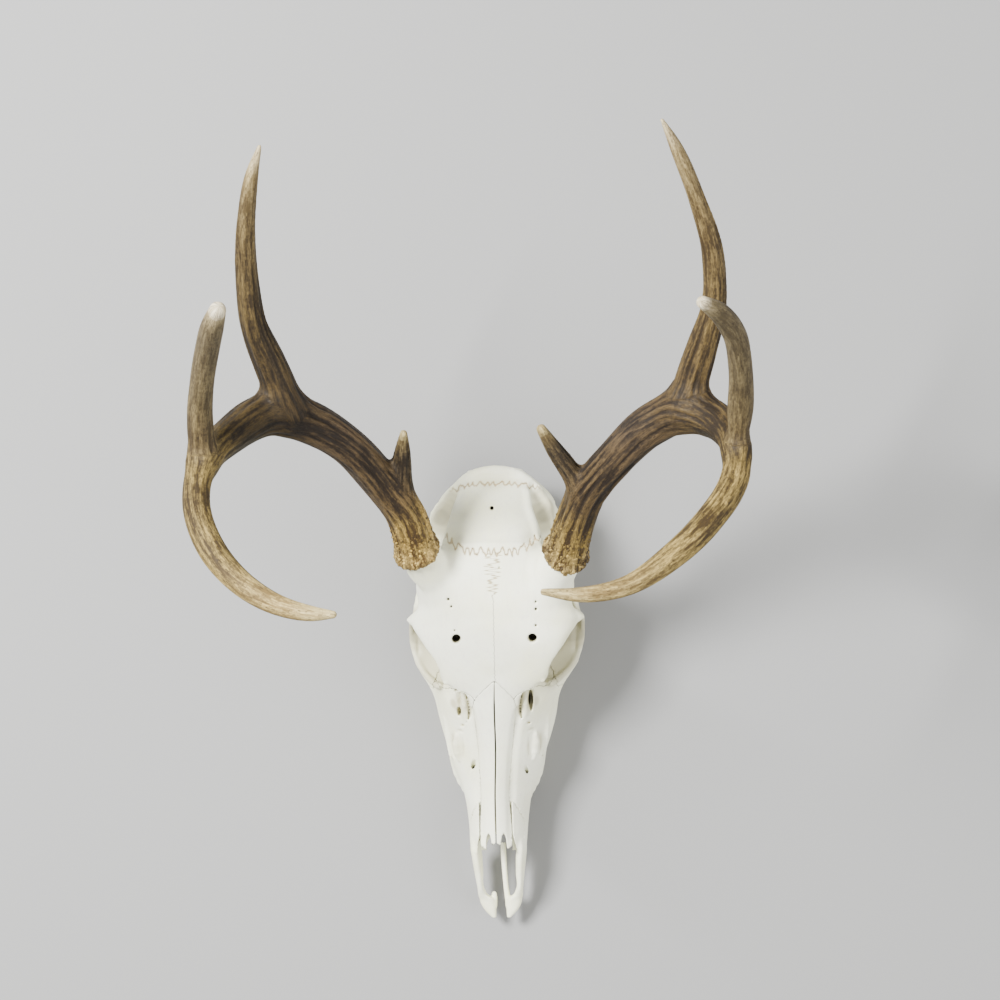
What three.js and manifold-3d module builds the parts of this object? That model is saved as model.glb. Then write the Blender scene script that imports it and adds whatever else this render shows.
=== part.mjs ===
// A white-tailed buck's skull without its lower jaw, with both antlers on it: two main beams, each with a
// short brow tine, a long second tine and a stout third tine. It stands on its cheek teeth and on the two
// prongs beside its occipital condyles, as a clean skull rests on a table.
//
// Everything is modelled in the skull's own millimetres: x is sideways from the midline (plus is the
// animal's left), y runs back from the tip of the snout and z is the height above the table. One group at
// the end carries the skull to the part's frame, whose origin is the middle of its box, on the table.

import * as THREE from 'three';
import { mergeVertices } from 'three/addons/utils/BufferGeometryUtils.js';
import Module from 'manifold-3d';

const wasm = await Module();
wasm.setup();

// ---- Driving dimensions -------------------------------------------------------------------------------

const SUTURE = 0.3; // gap between neighbouring bones, and between an antler's lengths
const NASAL_GAP = 1.2; // open slit between the two nasal bones
const ORBIT = { x: 41, y: 169.5, z: 62, deep: 25, round: 20.5 }; // one eye socket: centre and half sizes
const NAPE = 284; // length of the skull, from snout to nape
const BURR_RADIUS = 17.5;
const PEDICLE_RADIUS = 12;
const SNOUT_IN_FRAME = { x: 12.6, y: -231.9 }; // where the snout's tip stands in the part's frame

const LEFT = 1;
const RIGHT = -1;
const SIDES = [{ name: 'right', sign: RIGHT }, { name: 'left', sign: LEFT }];

const RING_POINTS = 16; // corners round the skull's sections
const CAVITY_POINTS = 8; // corners round the sections of a hollow, a ridge or a premaxilla
const TUBE_POINTS = 7; // corners round an antler's sections
const TUBE_STEP = 15; // length of one facet along a beam
const TINE_STEP = 18; // length of one facet along a tine

const bone = new THREE.MeshStandardMaterial({ color: 0xe9e6dc, roughness: 0.6, metalness: 0 });
const horn = new THREE.MeshStandardMaterial({ color: 0x6b4a2b, roughness: 0.55, metalness: 0 });

// ---- Shapes -------------------------------------------------------------------------------------------

function meshVolume(position, index) {
  const [a, b, c] = [new THREE.Vector3(), new THREE.Vector3(), new THREE.Vector3()];
  let volume = 0;
  for (let i = 0; i < index.count; i += 3) {
    a.fromBufferAttribute(position, index.getX(i));
    b.fromBufferAttribute(position, index.getX(i + 1));
    c.fromBufferAttribute(position, index.getX(i + 2));
    volume += a.dot(b.cross(c)) / 6;
  }
  return volume;
}

// A closed geometry as a solid that can be joined and cut, its faces pointing out.
function solid(geometry) {
  geometry.deleteAttribute('normal');
  geometry.deleteAttribute('uv');
  const merged = mergeVertices(geometry, 1e-4);
  const triangles = Uint32Array.from(merged.index.array);
  if (meshVolume(merged.attributes.position, merged.index) < 0) {
    for (let i = 0; i < triangles.length; i += 3) {
      [triangles[i], triangles[i + 1]] = [triangles[i + 1], triangles[i]];
    }
  }
  const vertices = Float32Array.from(merged.attributes.position.array);
  return new wasm.Manifold(new wasm.Mesh({ numProp: 3, vertProperties: vertices, triVerts: triangles }));
}

// A closed skin over rings of points, with a flat cap at each end.
function loft(rings) {
  const count = rings[0].length;
  const points = rings.flat();
  const index = [];
  for (let i = 0; i + 1 < rings.length; i++) {
    for (let j = 0; j < count; j++) {
      const [a, b] = [i * count + j, i * count + (j + 1) % count];
      index.push(a, a + count, b, b, a + count, b + count);
    }
  }
  const caps = [rings[0], rings[rings.length - 1]];
  caps.forEach((ring, end) => {
    const middle = ring.reduce((sum, p) => sum.add(p), new THREE.Vector3()).divideScalar(count);
    const centre = points.push(middle) - 1;
    const first = end * (rings.length - 1) * count;
    for (let j = 0; j < count; j++) {
      const [a, b] = [first + j, first + (j + 1) % count];
      index.push(...(end ? [centre, b, a] : [centre, a, b]));
    }
  });
  const geometry = new THREE.BufferGeometry().setFromPoints(points);
  geometry.setIndex(index);
  return solid(geometry);
}

// One section across the skull: an oval with its own curvature above and below its widest level.
function section(s, corners = RING_POINTS) {
  const ring = [];
  for (let j = 0; j < corners; j++) {
    const angle = (2 * Math.PI * j) / corners;
    const [cos, sin] = [Math.cos(angle), Math.sin(angle)];
    const power = 2 / (sin > 0 ? s.above : s.below);
    const reach = sin > 0 ? s.top - s.level : s.level - s.bottom;
    const x = Math.sign(cos) * s.half * Math.abs(cos) ** power;
    const z = s.level + Math.sign(sin) * reach * Math.abs(sin) ** power;
    ring.push(new THREE.Vector3((s.x ?? 0) + x, s.y, z));
  }
  return ring;
}

// A body lofted from a table of stations: its columns are named once, and each row is one station.
function body(columns, rows, corners) {
  const stations = rows.map((row) => Object.fromEntries(columns.map((name, i) => [name, row[i]])));
  return loft(stations.map((station) => section({ above: 2, below: 2, ...station }, corners)));
}

function ball(x, y, z, rx, ry, rz, around = 10) {
  const geometry = new THREE.SphereGeometry(1, around, Math.ceil(around * 0.55));
  return solid(geometry.scale(rx, ry, rz).translate(x, y, z));
}

function block(low, high) {
  const size = high.map((value, i) => value - low[i]);
  const geometry = new THREE.BoxGeometry(...size);
  return solid(geometry.translate(...low.map((value, i) => value + size[i] / 2)));
}

// A smooth course through control points [x, y, z, radius].
function course(points) {
  const places = points.map((p) => new THREE.Vector3(...p));
  const curve = new THREE.CatmullRomCurve3(places, false, 'centripetal');
  curve.radii = points.map((p) => p[3]);
  curve.long = curve.getLength();
  return curve;
}

function radiusAt(curve, share) {
  const place = curve.getUtoTmapping(share) * (curve.radii.length - 1);
  const first = Math.min(Math.floor(place), curve.radii.length - 2);
  return THREE.MathUtils.lerp(curve.radii[first], curve.radii[first + 1], place - first);
}

// The stretch of a course between two shares of its length, as a round bar; grow fattens it, and flat
// makes it narrower across than it is high.
function bar(curve, options = {}) {
  const { from = 0, to = 1, grow = 0, sides = TUBE_POINTS, step = TUBE_STEP, flat = 1 } = options;
  const steps = Math.max(2, Math.ceil((curve.long * (to - from)) / step));
  const rings = [];
  let across = new THREE.Vector3(1, 0, 0);
  for (let i = 0; i <= steps; i++) {
    const share = from + ((to - from) * i) / steps;
    const along = curve.getTangentAt(share);
    across = across.clone().addScaledVector(along, -across.dot(along)).normalize();
    const up = along.clone().cross(across);
    const radius = radiusAt(curve, share) + grow;
    const centre = curve.getPointAt(share);
    const ring = [];
    for (let j = 0; j < sides; j++) {
      const angle = (2 * Math.PI * j) / sides;
      ring.push(centre.clone()
        .addScaledVector(across, radius * flat * Math.cos(angle))
        .addScaledVector(up, radius * Math.sin(angle)));
    }
    rings.push(ring);
  }
  return loft(rings);
}

const join = (solids) => solids.reduce((sum, next) => sum.add(next));
const cut = (from, solids) => solids.reduce((rest, next) => rest.subtract(next), from);
const largest = (whole) => whole.decompose().sort((a, b) => b.volume() - a.volume())[0];

// ---- The skull as one body ----------------------------------------------------------------------------

// Muzzle: both maxillae, the palate between them and the roof that the nasal bones form.
const muzzle = body(['y', 'half', 'level', 'top', 'bottom', 'above'], [
  [47, 17.6, 27, 46, 16, 1.7],
  [60, 18.4, 28, 49.5, 15, 1.6],
  [84, 22, 29, 56, 14.5, 1.5],
  [104, 29.3, 31, 62.2, 15.5, 1.45],
  [123, 34.5, 34, 69, 17, 1.5],
  [137, 38, 39, 75, 18, 1.7],
  [150, 40.5, 43, 80, 19, 2],
  [166, 38, 45, 86, 22, 2.2],
]);

// Forehead: a broad arched shield that overhangs the eye sockets and ends at the coronal suture.
const forehead = body(['y', 'half', 'level', 'top', 'bottom', 'above'], [
  [138, 14, 69, 75.3, 62, 2.2],
  [150, 29.5, 72, 80.5, 64, 2.2],
  [162, 36, 77.5, 86.5, 70, 2.2],
  [180, 45.5, 80, 94.5, 73, 2.2],
  [187, 51.5, 77, 97, 68, 2],
  [191, 53.5, 76, 98, 68, 2],
  [197, 49.5, 79, 99.8, 72, 2],
  [212, 47.5, 84, 101.6, 75, 2.2],
  [224, 41, 86, 102, 77, 2.2],
  [236, 28, 86, 100.5, 77, 2.2],
]);

// Braincase, with the narrow bone between the eye sockets in front of it.
const braincase = body(['y', 'half', 'level', 'top', 'bottom', 'above', 'below'], [
  [146, 27, 52, 76, 30, 2.5, 2],
  [160, 20, 55, 84, 34, 2.5, 2],
  [176, 16, 58, 90, 36, 2.5, 2],
  [192, 20, 60, 95, 35, 2.4, 2],
  [205, 29, 62, 97, 33, 2.2, 2],
  [220, 34, 60, 99.5, 31, 2.2, 2],
  [236, 37, 56, 100, 30, 2.3, 2.2],
  [252, 38, 52, 93.5, 29, 2.1, 2.2],
  [265, 34, 50, 84.5, 28, 1.9, 2.4],
  [276, 26, 50, 75, 27, 2.2, 2.4],
  [281, 19, 48, 68, 30, 2.2, 2.4],
], 12);

// Ridge round the back of the skull, from one ear over the nape to the other.
const nuchalCrest = bar(course([
  [-37, 252, 50, 4.5], [-29, 268, 57, 4.5], [-16, 277, 68, 5], [0, NAPE - 5.5, 70, 5.5],
  [16, 277, 68, 5], [29, 268, 57, 4.5], [37, 252, 50, 4.5],
]), { step: 18, sides: 6 });

function pedicle(side) {
  const foot = side.sign === LEFT ? [34, 213, 87] : [-33, 214, 88];
  return course([[...foot, PEDICLE_RADIUS + 1.5], [...ANTLERS[side.name].burr, PEDICLE_RADIUS - 0.5]]);
}

// Rim of the eye socket from the tear duct round below to the post-orbital bar.
function orbitRim({ sign }) {
  return bar(course([
    [sign * 29, 150, 74, 3.5], [sign * 33, 148, 62, 4], [sign * 39, 150.5, 49, 4.2],
    [sign * 48, 160, 41, 4], [sign * 51, 174, 39.5, 4], [sign * 51.5, 188, 48, 3.6],
    [sign * 51, 191.5, 64, 3.6], [sign * 50.5, 189.5, 77, 4],
  ]), { sides: 6, step: 15 });
}

// Cheek arch, from below the eye socket back to the ear.
function cheekArch({ sign }) {
  return bar(course([
    [sign * 49.5, 170, 40, 4.5], [sign * 50.5, 190, 41, 4.5], [sign * 48, 210, 42.5, 4],
    [sign * 43.5, 228, 45, 4], [sign * 36, 244, 48, 5.5],
  ]), { sides: 6, step: 18, flat: 0.6 });
}

function orbit({ sign }) {
  const { x, y, z, deep, round } = ORBIT;
  return ball(sign * x, y, z, deep, round, round, 11);
}

// Cheek teeth: three premolars of one lobe and three molars of two, all worn to one level.
const TOOTH_ROW = { front: 87, insideFront: 15.5, insideBack: 19.5 };
const LOBES = [
  { long: 9.5, wide: 8.5 }, { long: 10, wide: 10.5 }, { long: 10, wide: 12 },
  { long: 7, wide: 13.5 }, { long: 7, wide: 13.5 }, { long: 8, wide: 14.5 }, { long: 8, wide: 14.5 },
  { long: 8.3, wide: 14 }, { long: 8.3, wide: 13 },
];
const GUM_LEVEL = 9; // height of the bone's edge above the chewing surface

const CROWN_IN_GUM = 4; // how far the crowns reach up into the bone
const LOBE_NOTCH = 0.9; // depth of the groove between two lobes
const LOBE_BULGE = 1.4; // how far a lobe's curve is pulled past its width, to round it

// Places along one tooth row: where each lobe starts, and its edges towards the tongue and the cheek.
function lobePlaces() {
  const rowLong = LOBES.reduce((sum, lobe) => sum + lobe.long, 0);
  let y = TOOTH_ROW.front;
  return LOBES.map((lobe) => {
    const share = (y - TOOTH_ROW.front) / rowLong;
    const bow = Math.sin((share * Math.PI) / 2);
    const inner = THREE.MathUtils.lerp(TOOTH_ROW.insideFront, TOOTH_ROW.insideBack, bow);
    const place = { from: y, to: y + lobe.long, inner, outer: inner + lobe.wide };
    y = place.to;
    return place;
  });
}

function toothRow({ sign }) {
  const places = lobePlaces();
  const plan = new THREE.Shape();
  plan.moveTo(sign * (places[0].outer - LOBE_NOTCH), places[0].from);
  for (const { from, to, outer } of places) {
    plan.quadraticCurveTo(sign * (outer + LOBE_BULGE), (from + to) / 2, sign * (outer - LOBE_NOTCH), to);
  }
  plan.lineTo(sign * (places.at(-1).inner + LOBE_NOTCH), places.at(-1).to);
  for (const { from, to, inner } of places.toReversed()) {
    plan.quadraticCurveTo(sign * (inner - LOBE_BULGE), (from + to) / 2, sign * (inner + LOBE_NOTCH), from);
  }
  const depth = GUM_LEVEL + CROWN_IN_GUM;
  const crowns = new THREE.ExtrudeGeometry(plan, { depth, bevelEnabled: false, curveSegments: 2 });
  const ridge = places.filter((place, i) => i % 4 === 0).map(({ from, to, inner, outer }) => ({
    x: (sign * (inner + outer)) / 2, y: (from + to) / 2, half: (outer - inner) / 2 + 0.8,
  }));
  const [first, last] = [ridge[0], ridge.at(-1)];
  const ends = [{ ...first, y: first.y - 11, half: 3.5 }, { ...last, y: last.y + 7, half: 4 }];
  const shape = { level: 22, top: 34, bottom: GUM_LEVEL, above: 2, below: 5 };
  const stations = [ends[0], ...ridge, ends[1]];
  const rings = stations.map((station) => section({ ...station, ...shape }, CAVITY_POINTS));
  return [solid(crowns), loft(rings)];
}

// Base of the skull: condyles, ear capsules and the prongs that it stands on.
function skullBase({ sign }) {
  const prong = [[29, 269, 44, 6.5], [29.5, 268.8, 24, 6], [28, 267.5, 8, 4.5], [27.5, 267, 0, 3.4]];
  const wing = [[12, 150, 27, 6], [12.5, 175, 28, 7], [13, 192, 31, 6.5], [13, 204, 35, 4]];
  const bars = [prong, wing].map((points) => course(points.map(([x, ...rest]) => [sign * x, ...rest])));
  return [
    ball(sign * 14.5, 276, 31, 9, 9.5, 11),
    ball(sign * 21, 247, 28, 8, 13, 10.5),
    ball(sign * 34, 253, 42, 7, 7, 7, 8),
    bar(bars[0], { sides: 6, flat: 0.75, step: 18 }),
    bar(bars[1], { sides: 6, flat: 0.3, step: 18 }),
  ];
}

const foramenMagnum = ball(0, 282, 36, 10, 20, 9.5, 8);
const nasalCavity = body(['y', 'half', 'level', 'top', 'bottom', 'above', 'below'], [
  [30, 13.5, 27, 42.5, 19, 1.8, 3],
  [60, 14.5, 29, 46, 19, 1.7, 3],
  [84, 17.5, 31, 52, 19.5, 1.6, 3],
  [108, 19, 35, 58, 22, 1.6, 3],
], CAVITY_POINTS);
const choana = body(['y', 'half', 'level', 'top', 'bottom', 'above', 'below'], [
  [150, 6, 24, 28, 14, 2, 2],
  [160, 9.3, 24, 33, 6, 2.5, 4],
  [210, 9.5, 24, 34, 6, 2.5, 4],
], CAVITY_POINTS);
const palateVault = body(['y', 'half', 'level', 'top', 'bottom', 'above', 'below'], [
  [78, 9, 12, 16, 2, 2, 4],
  [100, 14, 12, 18, 2, 2, 4],
  [170, 17.5, 12, 22, 2, 2, 4],
], CAVITY_POINTS);

// Hollow over the temple, between the roof's edge and the crest above the ear.
function temple({ sign }) {
  return bar(course([
    [sign * 24, 278, 77, 3], [sign * 29, 262, 78, 5.5], [sign * 38, 246, 80, 7.5], [sign * 49, 229, 77, 9],
  ]), { sides: 6, step: 24 });
}

// Gap where the nasal, frontal, lacrimal and maxillary bones don't meet.
const vacuity = ({ sign }) => ball(sign * 23, 140, 66, 5, 12, 6);

// ---- Premaxillae --------------------------------------------------------------------------------------

// Outer branch: a thin plate from the snout's tip up to the side of the nasal bone.
function premaxilla(side, grow = 0) {
  const { sign } = side;
  const columns = ['y', 'x', 'half', 'bottom', 'top'];
  const rows = [
    [0, 5, 1.6, 11, 16],
    [4, 6.6, 3.4, 10, 18],
    [9, 7.2, 4.4, 10, 20],
    [13, 8.3, 4.6, 10.5, 22],
    [16, 10.6, 2.9, 11, 23.5],
    [30, 12.9, 2.9, 12, 30],
    [45, 14.2, 3.4, 13, 38],
    [62, 15, 3.4, 14, 43],
    [76, 16, 3, 16, 44],
  ];
  const outer = loft(rows.map((row) => {
    const s = Object.fromEntries(columns.map((name, i) => [name, row[i]]));
    const [half, top, bottom] = [s.half + grow, s.top + grow, s.bottom - grow];
    const level = (s.top + s.bottom) / 2;
    const shape = { half, top, bottom, level, above: 2.6, below: 2.6 };
    return section({ y: s.y, x: sign * s.x, ...shape }, CAVITY_POINTS);
  }));
  const whole = [[4.4, 8, 13, 2], [4.2, 26, 13.5, 1.9], [2.9, 48, 15.5, 1.8], [2.4, 74, 18, 1.6]];
  const broken = [[4.6, 8, 13, 2.2], [4.4, 13, 13.5, 2], [4, 16.5, 14, 1.5]];
  const branch = side.sign === LEFT ? whole : broken; // the right one's inner branch has snapped off
  const rod = course(branch.map(([x, ...rest]) => [sign * x, ...rest]));
  return outer.add(bar(rod, { grow, sides: 6, step: 18 }));
}

// ---- Antlers ------------------------------------------------------------------------------------------

// Control points are [x, y, z, radius]. A beam starts inside its pedicle, and a tine in its beam.
const ANTLERS = {
  right: {
    burr: [-43.8, 230.5, 112],
    beam: [
      [-36, 219, 97, 12], [-43.8, 230.5, 112, 13], [-51, 258.5, 138, 11.2], [-60.4, 272.5, 152, 11.1],
      [-85.8, 301, 180, 10.3], [-103, 310.5, 191, 10.8], [-121.6, 316, 202, 10.6], [-146.5, 303, 230, 9.5],
      [-160, 283, 254, 8.1], [-161.5, 263, 269, 7.6], [-151, 238.3, 284, 7.5], [-135, 220.7, 295, 6.9],
      [-115, 209, 305, 5.3], [-95.2, 204.2, 313, 3.4], [-83.9, 203.7, 318, 1.2],
    ],
    forks: [0.165, 0.39, 0.575],
    brow: [[-55, 264, 144, 6.2], [-51.5, 280, 157, 4.9], [-50.4, 292.5, 168, 3.8], [-49.8, 302.3, 178, 1.6]],
    second: [
      [-113, 313, 200, 11], [-122.8, 340.5, 217, 8.6], [-131, 363.9, 234, 6.9], [-132.5, 383, 248, 5.9],
      [-130, 418.9, 275, 4.3], [-124.8, 441, 293.5, 2.9], [-120.5, 451.1, 301, 1],
    ],
    third: [
      [-155, 294, 243, 7.6], [-157.8, 312, 266, 6.8], [-154.6, 329, 287, 6.5], [-149, 346, 312, 6.3],
      [-143.3, 358, 337, 5.4], [-138, 366.7, 355, 1.5],
    ],
  },
  left: {
    burr: [43, 232, 112],
    beam: [
      [36, 218, 96, 12], [43, 232, 112, 13], [49, 252, 136, 11.4], [53.5, 265, 150, 11],
      [68.5, 284.5, 171, 10.2], [90.7, 303, 192, 10.6], [109, 310.5, 206, 10.8], [125.4, 307, 221, 10],
      [136.7, 286, 249, 7.9], [134.4, 274.4, 259, 7.4], [117.7, 249.6, 281, 7.3], [96.1, 230.6, 297, 6.8],
      [70.4, 215.7, 309, 5.2], [44, 211.8, 317.5, 3.7], [25.4, 213.9, 321, 1.6],
    ],
    forks: [0.165, 0.4, 0.565],
    brow: [[55, 262, 147, 5.8], [44.2, 280.1, 162, 4.4], [37, 291.1, 171, 3.7], [29, 303.7, 181, 1.8]],
    second: [
      [107, 308, 204, 11], [118.8, 345.4, 223, 7.9], [124.2, 366, 238, 6.6], [123, 396.3, 259, 5.5],
      [113.7, 423.7, 279, 3.9], [100.7, 452.6, 299, 2.5], [95.2, 463.2, 305, 1],
    ],
    third: [
      [136, 289, 247, 7.6], [137, 303.9, 259, 7], [135, 330, 288, 6.4], [130, 347.5, 313, 6.2],
      [119.6, 358.9, 337, 5], [110.9, 363.4, 351, 1.8],
    ],
  },
};

const BEAM_START = 0.055; // share of the course where the beam leaves its burr

// Burr: a thick collar with a knobbly edge, square to the pedicle.
function burr(antler, axis) {
  const profile = [[0, -3.2], [0.8, -3], [1, -0.5], [0.92, 2.2], [0, 5]];
  const around = 12;
  const edge = profile.map(([r, h]) => new THREE.Vector2(r * BURR_RADIUS, h));
  const collar = new THREE.LatheGeometry(edge, around);
  const place = collar.attributes.position;
  for (let i = 0; i < place.count; i++) {
    const angle = Math.atan2(place.getX(i), place.getZ(i));
    const knob = 1 + 0.05 * Math.sin(angle * 5) + 0.04 * Math.cos(angle * 7);
    place.setXYZ(i, place.getX(i) * knob, place.getY(i), place.getZ(i) * knob);
  }
  collar.applyQuaternion(new THREE.Quaternion().setFromUnitVectors(new THREE.Vector3(0, 1, 0), axis));
  return solid(collar.translate(...antler.burr));
}

function antlerNodes(side) {
  const antler = ANTLERS[side.name];
  const stub = pedicle(side);
  const beam = course(antler.beam);
  const half = SUTURE / 2 / beam.long;
  const places = [BEAM_START, ...antler.forks, 1];
  const lengths = places.slice(1).map((to, i) => {
    const [start, end] = [places[i] + (i > 0 ? half : 0), to < 1 ? to - half : to];
    return bar(beam, { from: start, to: end });
  });
  const room = places.slice(1).map((to, i) => {
    const [start, end] = [places[i] - half, Math.min(to + half, 1)];
    return bar(beam, { from: start, to: end, grow: SUTURE });
  });
  const tine = (points) => cut(bar(course(points), { step: TINE_STEP }), room);
  const [base, lower, middle, tip] = lengths;
  return {
    burr: cut(base.add(burr(antler, stub.getTangentAt(1))), [bar(stub, { grow: SUTURE })]),
    lower_beam: lower,
    middle_beam: middle,
    beam_tip: tip,
    brow_tine: tine(antler.brow),
    second_tine: tine(antler.second),
    third_tine: tine(antler.third),
  };
}

// ---- Bones, parted along their sutures ----------------------------------------------------------------

const both = (make) => SIDES.flatMap((side) => make(side));

let skull = join([muzzle, forehead, braincase, nuchalCrest]);
skull = cut(skull, both(temple));
skull = join([skull, ...both(skullBase), ...both((side) => bar(pedicle(side)))]);
skull = cut(skull, [...both(orbit), ...both(vacuity), foramenMagnum, nasalCavity, choana, palateVault]);
skull = join([skull, ...both(orbitRim), ...both(cheekArch), ...both(toothRow)]);
skull = cut(skull, [block([-60, 0, -20], [60, 300, 0])]);

// Plan of one nasal bone: it widens backwards and runs up into the forehead to a point at the midline.
function nasalPlan({ sign }, grow) {
  const rows = [
    [40, 9.2, 44], [60, 9.6, 49.5], [84, 9.8, 56], [110, 10.5, 64],
    [128, 13, 71], [140, 12.3, 76], [152, 1.2, 80.5],
  ];
  return loft(rows.map(([y, half, top]) => {
    const inner = sign * (NASAL_GAP / 2 - grow);
    const outer = sign * (half + grow);
    const [low, high] = [top - 6 - grow, top + 12];
    const corners = [[inner, low], [outer, low], [outer, high], [inner, high]];
    return corners.map(([x, z]) => new THREE.Vector3(x, y, z));
  }));
}

// The notch that leaves two prongs at the front of a nasal bone.
const prongNotch = ({ sign }) => ball(sign * 5.2, 50, 47, 1.8, 8, 12);

// Each bone takes what lies in its boxes from what the earlier ones leave.
const BONES = [
  { name: 'nasal_bone', paired: true, within: nasalPlan, less: prongNotch },
  { name: 'zygomatic_bone', paired: true, boxes: [[[33.5, 140, 33.5], [62, 214, 68]]] },
  { name: 'occipital_bone', boxes: [[[-60, 262, -1], [60, 300, 60]], [[-60, 272, 59], [60, 300, 100]]] },
  {
    name: 'temporal_bone',
    paired: true,
    boxes: [[[12.5, 214, -1], [62, 263, 62]], [[40, 200, 30], [62, 215, 60]]],
  },
  {
    name: 'maxilla',
    paired: true,
    boxes: [[[0, 0, -1], [60, 147, 95]], [[0, 146, -1], [60, 169, 33.5]]],
  },
  { name: 'sphenoid_bone', boxes: [[[-40, 146, -1], [40, 263, 44]]] },
  { name: 'parietal_bone', boxes: [[[-60, 234, 43], [60, 273, 84]], [[-27, 234, 83], [27, 273, 120]]] },
  { name: 'frontal_bone', boxes: [[[-60, 140, 30], [60, 246, 130]]] },
];

function region(bone, side, grow) {
  if (bone.within) return bone.within(side, grow);
  const parts = bone.boxes.map(([low, high]) => {
    const [l, h] = [low.map((v) => v - grow), high.map((v) => v + grow)];
    if (side.sign === RIGHT) [l[0], h[0]] = [-h[0], -l[0]];
    return block(l, h);
  });
  return join(parts);
}

const nodes = [];
const node = (name, shape, material) => nodes.push({ name, shape, material });

for (const side of SIDES) {
  node(`${side.name}_premaxilla`, premaxilla(side), bone);
}
skull = cut(skull, [block([-SUTURE / 2, 20, -1], [SUTURE / 2, 147, 77])]);
skull = cut(skull, both((side) => premaxilla(side, SUTURE)));
for (const entry of BONES) {
  const owners = entry.paired ? SIDES : [{ name: '', sign: LEFT }];
  const parts = owners.map((side) => {
    const piece = skull.intersect(region(entry, side, 0));
    const shaped = entry.less ? piece.subtract(entry.less(side)) : piece;
    node(side.name ? `${side.name}_${entry.name}` : entry.name, largest(shaped), bone);
    return region(entry, side, SUTURE);
  });
  skull = cut(skull, parts);
}
for (const side of SIDES) {
  for (const [name, shape] of Object.entries(antlerNodes(side))) {
    node(`${side.name}_${name}`, shape, horn);
  }
}

// ---- The finished scene -------------------------------------------------------------------------------

function toMesh({ name, shape, material }) {
  const { vertProperties, triVerts, numProp } = largest(shape).getMesh();
  const geometry = new THREE.BufferGeometry();
  const vertices = Float32Array.from(vertProperties);
  geometry.setAttribute('position', new THREE.BufferAttribute(vertices, numProp));
  geometry.setIndex(new THREE.BufferAttribute(Uint32Array.from(triVerts), 1));
  geometry.computeVertexNormals();
  const mesh = new THREE.Mesh(geometry, material);
  mesh.name = name;
  return mesh;
}

const deerSkull = new THREE.Group();
deerSkull.add(...nodes.map(toMesh));
deerSkull.position.set(SNOUT_IN_FRAME.x, SNOUT_IN_FRAME.y, 0);
deerSkull.updateMatrixWorld(true);

export default deerSkull;
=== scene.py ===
import functools
import math

import bpy
import numpy as np
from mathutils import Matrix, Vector
from mathutils.kdtree import KDTree


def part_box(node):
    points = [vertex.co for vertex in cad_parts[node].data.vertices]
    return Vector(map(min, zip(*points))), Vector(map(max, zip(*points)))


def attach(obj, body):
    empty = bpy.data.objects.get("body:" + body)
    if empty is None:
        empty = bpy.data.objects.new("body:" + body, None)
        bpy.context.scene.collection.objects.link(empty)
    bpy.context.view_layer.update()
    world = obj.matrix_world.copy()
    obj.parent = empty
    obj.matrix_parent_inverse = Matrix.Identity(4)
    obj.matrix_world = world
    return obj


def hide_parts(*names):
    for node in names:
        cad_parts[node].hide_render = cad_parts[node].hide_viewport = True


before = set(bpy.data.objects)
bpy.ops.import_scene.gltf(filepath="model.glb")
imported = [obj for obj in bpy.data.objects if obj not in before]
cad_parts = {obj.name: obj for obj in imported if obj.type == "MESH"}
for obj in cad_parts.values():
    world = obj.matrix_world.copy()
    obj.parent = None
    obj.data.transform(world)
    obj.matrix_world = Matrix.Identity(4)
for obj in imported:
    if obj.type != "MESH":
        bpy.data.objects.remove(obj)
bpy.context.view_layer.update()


# ---- The skull before it is parted -----------------------------------------------------------------
# A white-tailed buck's skull, without its lower jaw: one hollow-nosed box of bone. It is built whole, as
# signed distances on a grid, and the sections after this one part it along its sutures, bone by bone.
# Lengths are in millimetres: x sideways from the midline, y back from the snout's tip, z above the table.

MM = 0.001
STEP = 0.73  # spacing of the skull's grid
FAR = 99.0  # distance stored where nothing has been built yet
midline = (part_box("right_nasal_bone")[0].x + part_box("left_nasal_bone")[1].x) / 2
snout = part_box("left_premaxilla")[0].y
ORIGIN = np.array([midline, snout, 0.0])
SIDES = {"right": -1, "left": 1}  # the animal's own sides


def smooth(t, knots, values):
    """Values of a table between its knots, on one smooth line through them."""
    t, knots, values = (np.asarray(a, np.float64) for a in (t, knots, values))
    slopes = np.gradient(values, knots, axis=0)
    i = np.clip(np.searchsorted(knots, t) - 1, 0, len(knots) - 2)
    gap = knots[i + 1] - knots[i]
    u = np.clip((t - knots[i]) / gap, 0, 1)
    if values.ndim > 1:
        u, gap = u[:, None], gap[:, None]
    start = values[i] * (1 + 2 * u) * (1 - u) ** 2 + slopes[i] * gap * u * (1 - u) ** 2
    end = values[i + 1] * u**2 * (3 - 2 * u) - slopes[i + 1] * gap * u**2 * (1 - u)
    return start + end


def course(points, step):
    """Points [x, y, z, radius] every step along a smooth line through a few of them."""
    points = np.array(points, float)
    run = np.concatenate([[0], np.cumsum(np.linalg.norm(np.diff(points[:, :3], axis=0), axis=1))])
    return smooth(np.linspace(0, run[-1], max(2, int(run[-1] / step)) + 1), run, points)


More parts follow.
